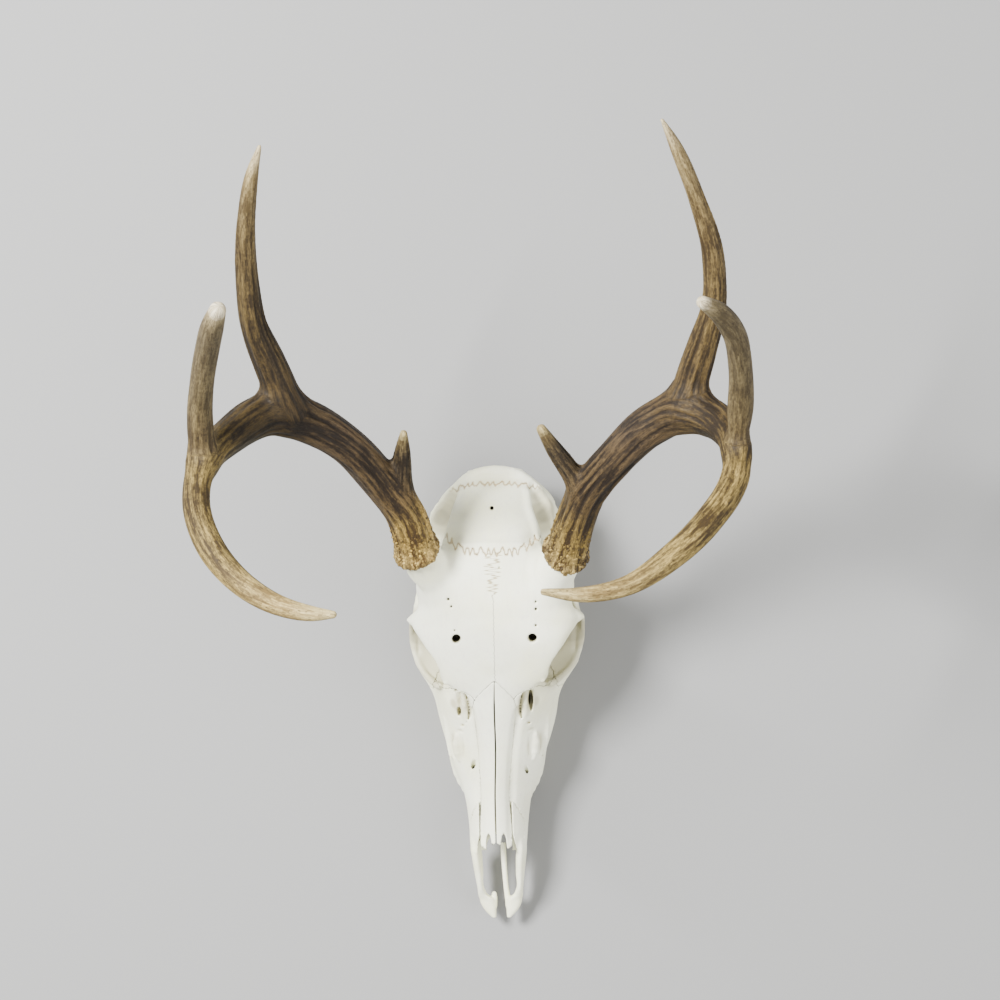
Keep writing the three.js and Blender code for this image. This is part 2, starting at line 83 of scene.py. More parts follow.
def loft(names, rows):
    """A body drawn from ovals across y, each with its own curvature above and below its widest level."""
    heart = 0.25  # share of a section, round its middle, where its distance is even
    names = names.split()
    table = {name: np.array([row[i] for row in rows], float) for i, name in enumerate(names)}
    centre, half = table.get("x", 0), table["half"]
    low = [np.min(centre - half), table["y"][0], table["bottom"].min()]
    high = [np.max(centre + half), table["y"][-1], table["top"].max()]

    def distance(x, y, z):
        s = {"above": 2.0, "below": 2.0, "x": 0.0}
        for name in names:
            s[name] = smooth(y.ravel(), table["y"], table[name]).astype(np.float32)[None, :, None]
        upper = z > s["level"]
        reach = np.where(upper, s["top"] - s["level"], s["level"] - s["bottom"])
        power = np.where(upper, s["above"], s["below"])
        side = np.abs(x - s["x"])
        rise = np.abs(z - s["level"])
        size = ((side / s["half"]) ** power + (rise / reach) ** power) ** (1 / power)
        out = np.sqrt(side**2 + rise**2)
        core = (heart - 1) * np.minimum(s["half"], reach)
        d = np.where(size > heart, out - out / np.maximum(size, heart), core)
        return np.maximum(d, np.maximum(rows[0][0] - y, y - rows[-1][0]))

    return low, high, distance


def ball(x, y, z, rx, ry, rz):
    """An egg-shaped body, from its middle and its three radii."""
    at, size = np.array([x, y, z]), np.array([rx, ry, rz])

    def distance(*grid):
        near = sum(((g - c) / r) ** 2 for g, c, r in zip(grid, at, size)) ** 0.5
        slope = sum(((g - c) / r**2) ** 2 for g, c, r in zip(grid, at, size)) ** 0.5
        return near * (near - 1) / np.maximum(slope, 1e-3)

    return at - size, at + size, distance


def bar(points, flat=1.0, step=5.0):
    """A round bar along a course of [x, y, z, radius]; flat makes it narrower across than it is high."""
    samples = course(points, step)
    margin = 8.0  # how far round the bar its distance is worked out

    def distance(x, y, z):
        d = np.full(np.broadcast_shapes(x.shape, y.shape, z.shape), FAR, np.float32)
        for a, b in zip(samples, samples[1:]):
            radius = max(a[3], b[3]) + margin
            cut = tuple(
                slice(*np.searchsorted(g.ravel(), [min(a[i], b[i]) - radius, max(a[i], b[i]) + radius]))
                for i, g in enumerate((x, y, z))
            )
            gx, gy, gz = x[cut[0]], y[:, cut[1]], z[:, :, cut[2]]
            along = b[:3] - a[:3]
            share = (gx - a[0]) * along[0] + (gy - a[1]) * along[1] + (gz - a[2]) * along[2]
            share = np.clip(share / (along @ along), 0, 1).astype(np.float32)
            dx = (gx - a[0] - share * along[0]) / flat
            dy = gy - a[1] - share * along[1]
            dz = gz - a[2] - share * along[2]
            near = np.sqrt(dx**2 + dy**2 + dz**2) - (a[3] + share * (b[3] - a[3]))
            d[cut] = np.minimum(d[cut], near)
        return d

    reach = samples[:, 3:4]
    return (samples[:, :3] - reach).min(0), (samples[:, :3] + reach).max(0), distance


class Field:
    """Signed distance to one body on a grid, below zero inside it."""

    room = 4.0  # how far past a form's own box it may change the grid, besides its blend

    def __init__(self, low, high, step):
        self.step = step
        self.axes = [np.arange(a, b + step, step, dtype=np.float32) for a, b in zip(low, high)]
        self.d = np.full([len(a) for a in self.axes], FAR, np.float32)

    def window(self, low, high, margin):
        """The part of the grid round a box: its slices and its three coordinates."""
        ends = zip(self.axes, low, high)
        cut = tuple(slice(*np.searchsorted(axis, [a - margin, b + margin])) for axis, a, b in ends)
        return cut, np.ix_(*[axis[c] for axis, c in zip(self.axes, cut)])

    def merge(self, cut, new, blend, sign=1):
        """Joins new distances to a part of the grid, rounded where they meet; sign -1 takes them away."""
        old = sign * self.d[cut]
        mix = np.maximum(blend - np.abs(old - new), 0) / blend
        self.d[cut] = sign * (np.minimum(old, new) - mix**2 * blend / 4)

    def add(self, form, blend=1.0, sign=1):
        """Joins a form to the body."""
        low, high, distance = form
        cut, grid = self.window(low, high, blend + self.room)
        self.merge(cut, distance(*grid), blend, sign)

    def cut(self, form, blend=1.0):
        """Takes a form out of the body."""
        self.add(form, blend, -1)

    def mirrored(self):
        """The whole grid, where this one holds only its half from the midline."""
        whole = Field.__new__(Field)
        whole.step = self.step
        whole.axes = [np.concatenate([-self.axes[0][:0:-1], self.axes[0]]), *self.axes[1:]]
        whole.d = np.concatenate([self.d[:0:-1], self.d])
        return whole

    def surface(self, rounds):
        """Points and faces of the body's surface, with the grid's steps evened out."""
        points, faces, _ = net(self.d, [axis[0] for axis in self.axes], self.step)
        return relax(points, faces, rounds), faces


half_skull = Field([0, -1.6, -1.6], [58, 289, 121], STEP)

# Muzzle: broad and high at the eyes, low and narrow where the premaxillae carry it on.
muzzle = loft("y half level top bottom above", [
    [40, 16.6, 26, 43.5, 16, 1.8],
    [47, 17.6, 27, 46, 16, 1.7],
    [60, 18.4, 28, 49.5, 15, 1.6],
    [84, 22, 29, 56, 14.5, 1.5],
    [104, 29.3, 31, 62.2, 15.5, 1.45],
    [123, 34.5, 34, 69, 17, 1.5],
    [137, 36.6, 39, 75, 18, 1.7],
    [150, 37.6, 43, 80, 19, 2],
    [166, 36, 45, 86, 22, 2.2],
])
half_skull.add(muzzle)
# Forehead: an arched shield that overhangs the eye sockets.
half_skull.add(loft("y half level top bottom above", [
    [126, 5, 56, 60, 50, 2.2],
    [138, 13, 66, 71.4, 60, 2.2],
    [150, 29.5, 72, 80.5, 64, 2.2],
    [162, 36, 77.5, 86.5, 70, 2.2],
    [180, 45.5, 80, 94.5, 73, 2.2],
    [187, 50, 77, 97, 68, 2],
    [191, 51.4, 76, 98, 68, 2],
    [197, 48.5, 79, 99.8, 72, 2],
    [212, 47.5, 84, 101.6, 75, 2.2],
    [224, 41, 86, 102, 77, 2.2],
    [236, 28, 86, 100.5, 77, 2.2],
]), 3)
# Braincase, with the narrow bone between the eye sockets in front of it.
half_skull.add(loft("y half level top bottom above below", [
    [140, 16, 46, 58, 36, 2.5, 2],
    [160, 20, 55, 84, 34, 2.5, 2],
    [176, 16, 58, 90, 36, 2.5, 2],
    [192, 20, 60, 95, 35, 2.4, 2],
    [205, 29, 62, 97, 33, 2.2, 2],
    [220, 34, 60, 99.5, 31, 2.2, 2],
    [236, 37, 56, 100, 30, 2.3, 2.2],
    [252, 38, 52, 93.5, 29, 2.1, 2.2],
    [265, 34, 50, 84.5, 28, 1.9, 2.4],
    [274, 25, 50, 76, 27, 2.2, 2.4],
    [280, 16, 49, 68, 30, 2.2, 2.2],
]), 5)
half_skull.add(ball(0, 271, 50, 22, 12.6, 18), 5)
# Crest round the back, from ear to ear over the nape.
half_skull.add(bar([
    [0, 279, 70, 4.8], [7, 278.4, 69.5, 4.6], [15.5, 275.4, 67.5, 4.4], [22.4, 270.6, 64.5, 3.7],
    [27.8, 263.8, 60, 2.6], [34, 257, 57, 2.1], [37.2, 249.5, 54, 1.8], [40.2, 240, 49.5, 2.2],
]), 3.5)
# Hollow over each temple, and the line above it where the jaw's muscle was fixed.
half_skull.cut(bar([
    [24.6, 269.6, 71, 3.6], [29, 262, 73, 7.2], [33.8, 252, 75, 10.6], [42, 241, 76, 12.8],
    [52.5, 228, 76, 14.4],
]), 2.6)
half_skull.add(bar([
    [29, 230, 92.4, 0.8], [25.4, 243, 86.4, 1.2], [22.2, 256, 82.2, 1.2], [20, 266.5, 74.6, 0.8],
]), 4)
# Floor of the eye socket, the cheek ridge below it, and the bed of the cheek teeth.
half_skull.add(bar([
    [31.5, 150, 41, 7.5], [39.5, 160, 37.5, 7.5], [45.6, 172, 36.2, 6], [47, 184, 39, 5],
], flat=0.9), 5)
half_skull.add(bar([
    [46.5, 163, 39, 3.8], [39, 152, 38.5, 3.6], [34.6, 142, 37.5, 3.4], [32, 130, 34, 3], [28, 116, 31, 1.5],
]), 5)
half_skull.add(bar([
    [17.5, 79, 20, 4], [20, 92, 19.5, 8.5], [23, 112, 19.5, 9.5], [26.5, 132, 20, 10.5],
    [27.5, 155, 22, 10.5], [26.5, 166, 25, 7],
], flat=0.9), 5)
# The eye socket, and the ring of bone round it.
half_skull.cut(ball(41, 169.5, 62, 25, 20.5, 20.5), 1.2)
half_skull.add(bar([
    [30, 152, 76, 1.1], [33.6, 149.5, 62, 2.2], [39.6, 152.3, 49.5, 2], [48, 161.5, 42.5, 1.6],
    [52.4, 174, 41, 1.5], [52.8, 187, 48, 1.6], [51.8, 190.5, 63, 1.9], [50.6, 190.2, 76, 2.2],
]), 2)
half_skull.add(bar([[50.2, 192, 50, 1.6], [49.8, 192.5, 63, 1.9], [47.6, 193.5, 76, 3]]), 3)
half_skull.add(bar([[48.5, 192, 77.5, 2.6], [53.6, 191, 74.5, 0.8]], step=2), 2)
# Arch of the cheek, back to the ear.
half_skull.add(bar([
    [50.4, 170, 37.5, 4], [50.6, 188, 40, 4.6], [46.4, 208, 42.5, 4.4], [43.5, 228, 45, 4.2],
    [35, 246, 48, 6],
], flat=0.45), 2.5)
# Joint for the lower jaw, the stop behind it and the tube of the ear.
half_skull.add(ball(36, 237, 41.5, 9, 6.5, 4.5), 3)
half_skull.add(ball(33, 244.5, 38, 4.5, 2.6, 5), 2)
half_skull.add(bar([[28, 252, 41, 6], [36, 252, 44, 4.6]]), 3)
half_skull.add(bar([[36, 252, 50, 2.2], [34, 258.5, 40, 3.2]]), 4)
half_skull.cut(bar([[33, 252, 42.5, 2], [42, 252, 45, 3]]), 0.8)
# Ear capsules, condyles, the prongs beside them and the keel between.
half_skull.add(ball(20.5, 247, 28.5, 7.6, 12.5, 10), 2)
half_skull.add(bar([[21, 236, 27, 2.6], [20.3, 230.5, 23.5, 1.5]]), 2)
half_skull.add(bar([[13, 266, 33, 8], [14.5, 272.5, 31, 7.4], [9.5, 270, 26, 5]]), 2.5)
half_skull.add(bar([
    [26, 262, 46, 4.8], [26.6, 264.6, 30, 5], [26.6, 265.6, 16, 4], [26.2, 265, 2.2, 2.2],
], flat=0.7), 4)
half_skull.add(ball(8, 251, 27.5, 4.5, 6, 3.5), 4)
half_skull.cut(ball(0, 240, 22.5, 5, 26, 5), 3)
# Wings behind the palate, and the opening for the spine.
half_skull.add(bar([[12, 152, 27, 6], [12.5, 175, 28, 7], [13, 192, 31, 6], [13, 204, 35, 4]], flat=0.22), 3)
half_skull.cut(ball(0, 284, 37, 9.5, 19, 9), 2)
# Hollow of the nose, its opening behind the palate, and the vault of the palate.
nose = loft("y half level top bottom above below", [
    [30, 13, 26, 39.5, 19, 2, 3],
    [60, 14.6, 29, 44.5, 19, 1.9, 3],
    [84, 17.4, 31, 50.5, 19.5, 1.8, 3],
    [108, 19, 35, 58, 22, 1.6, 3],
])
half_skull.cut(nose, 1)
half_skull.cut(loft("y half level top bottom above below", [
    [141, 1, 22, 23, 12, 2, 2],
    [145, 4.6, 23, 26, 9, 2, 2],
    [151, 7.4, 24, 29, 6, 2, 3],
    [160, 9.3, 24, 33, 6, 2.5, 4],
    [210, 9.5, 24, 34, 6, 2.5, 4],
]), 2)
half_skull.cut(loft("y half level top bottom above below", [
    [74, 7, 12, 15.5, 2, 2, 4],
    [100, 13, 12, 18, 2, 2, 4],
    [170, 16.5, 12, 22, 2, 2, 4],
]), 3)
# Parting wall of the nose, and two of the scrolls on each side of it.
half_skull.add(bar([[0, 66, 25, 6.5], [0, 110, 26, 8], [0, 160, 32, 5], [0, 192, 34, 3]], flat=0.24), 2)
half_skull.add(bar([[9, 64, 37, 3.6], [9.5, 84, 39, 5.2], [10, 112, 42, 6]], flat=0.3), 1)
half_skull.add(bar([[8.5, 68, 27, 2.6], [9, 86, 28, 3.6], [10, 112, 30, 4]], flat=0.45), 1)
# Gap in front of the eye, where four bones fall short of each other, with a scroll of the nose in it.
half_skull.cut(ball(19.8, 138.5, 69.6, 4.6, 13, 6), 0.8)
for deep in (0, 2.5, 5):
    half_skull.cut(bar([
        [23, 150, 72 - deep, 0.6], [18.4, 145, 71 - deep, 0.9], [16, 139, 68.5 - deep, 1],
        [15.6, 133, 66 - deep, 0.9], [17, 127, 63.5 - deep, 0.6],
    ], step=2), 0.5)
half_skull.add(bar([[19, 145, 66, 1.6], [18.4, 138, 65, 1.9], [18.2, 131, 62.5, 1.6]]), 0.8)
# Shallow pit in front of the socket, with a groove along it.
half_skull.cut(ball(31, 141, 69.5, 7, 13, 7.5), 4)
half_skull.cut(bar([[27, 149, 76, 1], [27.5, 140, 72, 1.1], [27, 131, 66, 0.8]]), 2)
# Swelling on the cheek over the roots of the molars, with grooves and a ridge round it.
half_skull.add(bar([[23.2, 102.5, 43.8, 1.2], [24.2, 110, 46.4, 3.3], [24.2, 118, 50.4, 1.6]]), 1.2)
half_skull.cut(bar([[26.8, 103.5, 38.8, 0.8], [27.8, 110, 41.4, 1.5], [27.4, 117.5, 45.8, 0.9]]), 0.6)
half_skull.cut(bar([
    [20.2, 120.6, 56.4, 0.7], [22.3, 121.4, 54.6, 1.1], [24.6, 120.4, 52.4, 0.7],
], step=2), 0.6)
half_skull.cut(bar([[20.4, 104.5, 48.2, 0.6], [20.4, 111, 51.4, 1], [20.8, 117, 54.4, 0.6]]), 0.8)
half_skull.add(bar([
    [29, 102, 37, 0.3], [30.2, 110, 38.6, 0.8], [31.2, 119, 41.4, 0.9], [31.6, 128, 45, 0.4],
]), 3)
# The nasal bones stand up between two shallow valleys.
half_skull.cut(bar([
    [11.4, 54, 45.8, 3.2], [11.6, 84, 51.8, 3.2], [12, 104, 59.2, 3.2], [13.8, 123, 65.2, 3],
    [15, 134, 67.8, 2],
]), 3)
# Foramina: on the brow, with a groove behind it, at the rim of the socket, deep in it and in the palate.
half_skull.cut(bar([[22.6, 178.7, 102, 3], [22.8, 179, 92, 2.9], [23.2, 180.6, 84, 2.4]]), 0.5)
half_skull.cut(bar([[22.5, 182, 98.5, 1.6], [24.5, 191, 100.2, 1.6], [27.5, 204, 101, 1]]), 3)
half_skull.cut(bar([[41, 149, 56, 0.8], [38, 153, 56, 1.1]]), 0.4)
half_skull.cut(bar([[24, 185, 52, 3], [12, 190, 50, 2]]), 1)
half_skull.cut(bar([[9, 138, 10, 1.4], [9.5, 134, 26, 1.2]]), 0.6)
# Way into the nose, between the snout bones.
half_skull.cut(ball(0, 45, 22, 8.5, 9, 12), 1.5)


def beyond(foot, top, high):
    """All that lies past a flat cut across a pedicle, at a height from the middle of the antler's burr."""
    foot, top = np.array(foot, float), np.array(top, float)
    axis = (top - foot) / np.linalg.norm(top - foot)
    return top - 17, top + 17, lambda *grid: high - sum((g - c) * a for g, c, a in zip(grid, top, axis))


PEDICLE_FEET = {"right": [-34, 216, 88], "left": [34, 213, 87]}
BURRS = {"right": [-46, 234.5, 112], "left": [43, 230.6, 112]}  # middles of the antlers' burrs

skull = half_skull.mirrored()
for side in SIDES:
    foot, top = PEDICLE_FEET[side], BURRS[side]
    skull.add(bar([[*foot, 13.2], [*top, 11.4]]), 7)
    skull.cut(beyond(foot, top, -1.5), 0.4)
# Small holes in the forehead and the crown: where each opens, and its radius.
for x, y, z, r in (
    (0, 257, 93, 1.25), (-27.2, 203, 98, 0.9), (-25.6, 198.5, 97.5, 0.8), (-24, 184, 94.5, 0.7),
    (25.8, 201, 98, 0.8), (25.8, 196.5, 97.5, 0.9), (25.3, 186.5, 95.5, 0.8), (3.5, 222, 100, 0.6),
):
    skull.cut(bar([[x, y, z + 3, r], [x * 0.98, y + 1, z - 8, r]]), 0.3)
# The holes beside the scrolls are not alike.
skull.cut(ball(22, 139, 65, 1.5, 7.2, 9), 0.5)
skull.cut(ball(-21.8, 133.8, 63, 1.4, 3.1, 8), 0.5)
skull.cut(ball(-23.4, 147.5, 70, 1.3, 1.6, 6), 0.5)
skull.cut(ball(20.5, 125.5, 60, 1.5, 0.8, 4), 0.5)
skull.cut(ball(-20, 125, 60, 1.3, 0.8, 4), 0.5)
# Nor are the holes low on the cheeks, where a nerve comes out.
skull.cut(bar([[-12.6, 105, 58, 0.7], [-13.2, 102, 54, 1.3], [-14, 96, 46, 2]]), 0.5)
skull.cut(bar([[19.2, 99.4, 50, 0.7], [18.6, 96, 44.6, 1.3], [17.6, 90.5, 36, 2.2]]), 0.5)


# ---- What every bone is finished with --------------------------------------------------------------
# Boiled and whitened bone: ivory, faintly yellow at its edges, and matt, with fine pores and a grain
# along the muzzle. Its hollows are painted darker and yellower, partly as painted shade and partly as real
# yellowing, and its holes are painted near black as painted shade. The edges of a suture are tan, where the
# gristle was.

IVORY = (0.87, 0.862, 0.60, 1)
WHITENED = (0.945, 0.95, 0.765, 1)
GRAIN = (0.74, 0.70, 0.60, 1)
FLECKS = (0.78, 0.74, 0.64, 1)
# Painted shade: the darker, yellower colour of the bone's hollows (partly real yellowing) and the near black
# inside its holes.
HOLLOW_SHADE_AND_STAIN = (0.49, 0.455, 0.30, 1)
DEEP_SHADE_AND_STAIN = (0.03, 0.025, 0.016, 1)
GRISTLE = (0.47, 0.335, 0.15, 1)
CLOSED_SEAM = (0.34, 0.31, 0.26, 1), (0.36, 0.29, 0.15, 1)  # in front, then behind where it winds
OBJECT, VECTOR, FACTOR = 3, 1, 2  # outputs of Texture Coordinate, then of Attribute


class Sock:
    """A shader socket that does arithmetic: an expression on it adds the Math nodes."""

    def __init__(self, tree, socket):
        self.tree, self.socket = tree, socket

    def node(self, kind, settings=None, **inputs):
        """Adds a node, sets it up, then links or sets its inputs by name or number; returns its outputs."""
        made = self.tree.nodes.new(kind)
        for name, value in (settings or {}).items():
            setattr(made, name, value)
        for name, value in inputs.items():
            socket = made.inputs[int(name[1:])] if name[0] == "_" else made.inputs[name.replace("_", " ")]
            if isinstance(value, Sock):
                self.tree.links.new(value.socket, socket)
            else:
                socket.default_value = value
        return [Sock(self.tree, out) for out in made.outputs]

    def math(self, operation, *values):
        inputs = {f"_{i}": value for i, value in enumerate(values)}
        return self.node("ShaderNodeMath", {"operation": operation}, **inputs)[0]

    def __add__(self, other):
        return self.math("ADD", self, other)

    __radd__ = __add__

    def __mul__(self, other):
        return self.math("MULTIPLY", self, other)

    __rmul__ = __mul__

    def __sub__(self, other):
        return self.math("SUBTRACT", self, other)

    def __rsub__(self, other):
        return self.math("SUBTRACT", other, self)

    def sine(self):
        return self.math("SINE", self)

    def size(self):
        return self.math("ABSOLUTE", self)

    def ramp(self, low, high):
        """0 below low, 1 above high, and smooth between them."""
        settings = {"interpolation_type": "SMOOTHSTEP", "clamp": True}
        return self.node("ShaderNodeMapRange", settings, _0=self, _1=low, _2=high)[0]

    def mix(self, under, over):
        """The colour under where this is 0 and the colour over where it is 1."""
        return self.node("ShaderNodeMix", {"data_type": "RGBA"}, _0=self, _6=under, _7=over)[2]


def material(name):
    """An empty material: its tree, as a socket to build from, and its Principled BSDF."""
    made = bpy.data.materials.new(name)
    made.use_nodes = True
    tree = made.node_tree
    shader = tree.nodes["Principled BSDF"]
    return made, Sock(tree, None), shader


def plug(start, shader, **values):
    """Links or sets the shader's inputs."""
    for name, value in values.items():
        socket = shader.inputs[name.replace("_", " ")]
        if isinstance(value, Sock):
            start.tree.links.new(value.socket, socket)
        else:
            socket.default_value = value


def bone_material(name, forehead=False):
    made, start, shader = material(name)
    place = start.node("ShaderNodeTexCoord")[OBJECT]
    seam = start.node("ShaderNodeAttribute", {"attribute_name": "seam"})[FACTOR]
    hollow = start.node("ShaderNodeAttribute", {"attribute_name": "hollow"})[FACTOR]
    broad = start.node("ShaderNodeTexNoise", Vector=place, Scale=22, Detail=3, Roughness=0.55)[0]
    fine = start.node("ShaderNodeTexNoise", Vector=place, Scale=260, Detail=4, Roughness=0.6)[0]
    stretched = start.node("ShaderNodeMapping", Vector=place, Scale=(1, 0.16, 1))[0]
    grain = start.node("ShaderNodeTexNoise", Vector=stretched, Scale=420, Detail=3, Roughness=0.6)[0]
    pores = start.node("ShaderNodeTexVoronoi", Vector=place, Scale=700)[0]
    ivory = broad.ramp(0.32, 0.66).mix(IVORY, WHITENED)
    ivory = (grain.ramp(0.5, 0.72) * 0.25).mix(ivory, GRAIN)
    ivory = (fine.ramp(0.52, 0.75) * 0.3).mix(ivory, FLECKS)
    # Painted shade: the more bone closes round a point, the darker and yellower its colour, and near black
    # deep in the holes; some of the yellow is real yellowing.
    colour = (hollow.ramp(0.3, 1.0) * (0.55 + broad * 0.6)).mix(ivory, HOLLOW_SHADE_AND_STAIN)
    colour = hollow.ramp(1.05, 1.7).mix(colour, DEEP_SHADE_AND_STAIN)
    colour = (seam.ramp(0.15, 1) * (0.45 + fine * 0.6)).mix(colour, GRISTLE)
    height = fine * 0.5 + grain * 0.6 + pores.ramp(0.0, 0.35) * 0.3
    if forehead:
        # The suture between the two halves of the forehead has grown together and is left as a line.
        x, y, z = start.node("ShaderNodeSeparateXYZ", Vector=place)
        back = (y - snout) * 1000
        side = (x - midline) * 1000 + 1.0
        bend = (back * 1.9 + (back * 0.6).sine() * 1.9).sine()
        bend = bend + (back * 4.3 + (back * 1.1).sine() * 2).sine() * 0.45
        wide = back.ramp(203, 208) * (1.6 + back.ramp(206, 230) * 1.7) + 0.2
        line = (side - bend * wide).size()
        near = 1 - (line * (1.6 - back.ramp(203, 208) * 1.3)).ramp(0.1, 0.6)
        near = near * (1 - back.ramp(232, 234)) * back.ramp(150, 153) * z.ramp(0.07, 0.075)
        colour = (near * 0.9).mix(colour, back.ramp(200, 208).mix(*CLOSED_SEAM))
        height = height - near * 1.5
    normal = start.node("ShaderNodeBump", Strength=0.22, Distance=0.0004, Height=height)[0]
    plug(start, shader, Base_Color=colour, Roughness=0.52 + fine * 0.16, Normal=normal)
    plug(start, shader, Specular_IOR_Level=0.35)
    return made


dry_bone = bone_material("dry_bone")
forehead_bone = bone_material("forehead_bone", forehead=True)


def net(d, low, step):
    """Points and four-cornered faces of the surface where d is zero, faces out of the solid."""
    inside = d < 0
    corners = [(i, j, k) for i in (0, 1) for j in (0, 1) for k in (0, 1)]
    size = [n - 1 for n in d.shape]
    count = np.zeros(size, np.int8)
    for i, j, k in corners:
        count += inside[i:i + size[0], j:j + size[1], k:k + size[2]]
    cells = np.argwhere((count > 0) & (count < 8))
    values = np.stack([d[cells[:, 0] + i, cells[:, 1] + j, cells[:, 2] + k] for i, j, k in corners], 1)
    total = np.zeros((len(cells), 3), np.float32)
    hits = np.zeros((len(cells), 1), np.float32)
    for a, ca in enumerate(corners):
        for b, cb in enumerate(corners):
            if b <= a or sum(p != q for p, q in zip(ca, cb)) != 1:
                continue
            crossed = (values[:, a] < 0) != (values[:, b] < 0)
            share = np.where(crossed, values[:, a] / np.where(crossed, values[:, a] - values[:, b], 1), 0)
            start, end = np.array(ca, np.float32), np.array(cb, np.float32)
            total += np.where(crossed[:, None], start + share[:, None] * (end - start), 0)
            hits += crossed[:, None]
    points = (cells + total / hits) * step + np.array(low)
    number = np.full(size, -1, np.int32)
    number[tuple(cells.T)] = np.arange(len(cells), dtype=np.int32)
    faces = []
    for axis in range(3):
        b, c = [(1, 2), (2, 0), (0, 1)][axis]
        core = [slice(1, -1)] * 3
        core[axis] = slice(None)
        kept = inside[tuple(core)]
        first = np.take(kept, range(kept.shape[axis] - 1), axis)
        second = np.take(kept, range(1, kept.shape[axis]), axis)
        at = np.argwhere(first != second)
        leaving = first[tuple(at.T)]
        for other in (b, c):
            at[:, other] += 1
        ring = []
        for db, dc in ((-1, -1), (0, -1), (0, 0), (-1, 0)):
            cell = at.copy()
            cell[:, b] += db
            cell[:, c] += dc
            ring.append(number[tuple(cell.T)])
        ring = np.stack(ring, 1)
        faces.append(np.where(leaving[:, None], ring, ring[:, ::-1]))
    return points, np.concatenate(faces), cells


def probe(values, low, step, points):
    """Values of a grid, and their slopes, at some points between its own."""

    def at(where):
        return sampled(values, [[start, start + step] for start in low], where)

    aside = 0.4 * step
    slopes = [(at(points + shift) - at(points - shift)) / (2 * aside) for shift in np.eye(3) * aside]
    return at(points), np.stack(slopes, 1)


def sharpened(points, cells, surface, wall, low, step):
    """Moves the points along a bone's edge onto the very line where its surface meets a suture."""
    edge = np.ones(len(cells), bool)
    for values in (surface, wall):
        signs = np.stack([
            values[cells[:, 0] + i, cells[:, 1] + j, cells[:, 2] + k] < 0
            for i in (0, 1) for j in (0, 1) for k in (0, 1)
        ])
        edge &= signs.any(0) & ~signs.all(0)
    line = points[edge]
    furthest = 0.4 * step
    for _ in range(3):
        (a, slope_a), (b, slope_b) = (probe(values, low, step, line) for values in (surface, wall))
        aa, bb, ab = (slope_a**2).sum(1), (slope_b**2).sum(1), (slope_a * slope_b).sum(1)
        spread = np.maximum(aa * bb - ab**2, 0.05)
        to_surface, to_wall = (bb * a - ab * b) / spread, (aa * b - ab * a) / spread
        move = slope_a * to_surface[:, None] + slope_b * to_wall[:, None]
        size = np.linalg.norm(move, axis=1)[:, None]
        line = line - move * np.minimum(1, furthest / np.maximum(size, 1e-6))
    points = points.copy()
    points[edge] = line
    return points


def relax(points, faces, rounds):
    """Evens out the grid's steps: points move to the middle of their neighbours, then nearly as far back."""
    there, back = 0.5, -0.49
    ends = np.concatenate([faces[:, [i, (i + 1) % 4]] for i in range(4)])
    ends = np.concatenate([ends, ends[:, ::-1]])
    amount = np.bincount(ends[:, 0], minlength=len(points))[:, None]
    for factor in [there, back] * rounds:
        middle = np.stack([np.bincount(ends[:, 0], points[ends[:, 1], i], len(points)) for i in range(3)], 1)
        points = points + factor * (middle / np.maximum(amount, 1) - points)
    return points


def without_crumbs(points, faces):
    """Drops loose crumbs: parts with less than a small share of the points."""
    smallest = 0.02
    label = np.arange(len(points))
    while True:
        low = label[faces].min(1)
        new = label.copy()
        for i in range(4):
            np.minimum.at(new, faces[:, i], low)
        new = new[new]
        if (new == label).all():
            break
        label = new
    sizes = np.bincount(label, minlength=len(points))
    used = sizes[label] >= smallest * len(points)
    number = np.cumsum(used) - 1
    faces = number[faces[used[faces[:, 0]]]]
    return points[used], faces


def fade(value, out, full):
    """0 where a value is at out or past it, 1 where it is at full, and even between them."""
    return np.clip((value - out) / (full - out), 0, 1)


def unevenness(points):
    """Slow swells that no skull is without, which fade at the table, and a roof that leans to the right."""
    x, y, z = points.T / 10
    swell = np.stack([
        np.sin(0.9 * y + 0.4 * z + 1.3) + 0.6 * np.sin(1.7 * z - 0.8 * x + 0.4 * y),
        np.sin(0.7 * z + 0.5 * x + 2.1) + 0.5 * np.sin(1.9 * x + 0.6 * y + 0.7),
        np.sin(0.8 * x + 0.6 * y + 0.2) + 0.6 * np.sin(1.4 * y - 0.9 * x + 1.9),
    ], 1)
    z = points[:, 2]
    below_burr = fade(z, 114, 100)
    points = points + 0.22 * swell * (fade(z, 0, 12) * below_burr)[:, None]
    x, y = points[:, 0], points[:, 1]
    roof = np.interp(y, [0, 50, 146, 183, 260], [30, 46, 78, 95, 88])
    aside = np.interp(y, [20, 50, 146, 183, 285], [0, 2.3, 1.3, 0.9, 0.8])
    x -= aside * fade(z / roof, 0.45, 0.85) * below_burr
    rim = fade(np.abs(x), 40, 48) * fade(np.abs(y - 176), 33, 11)
    x += 0.8 * rim * fade(z, 80, 70)
    brow = fade(x, -40, -46) * fade(np.abs(y - 207), 21, 7)
    x += 2.2 * brow * fade(z, 60, 70) * fade(z, 100, 94)
    x += 1.9 * fade(y, 252, 261) * fade(z, 82, 70) * fade(z, 35, 50)
    return points


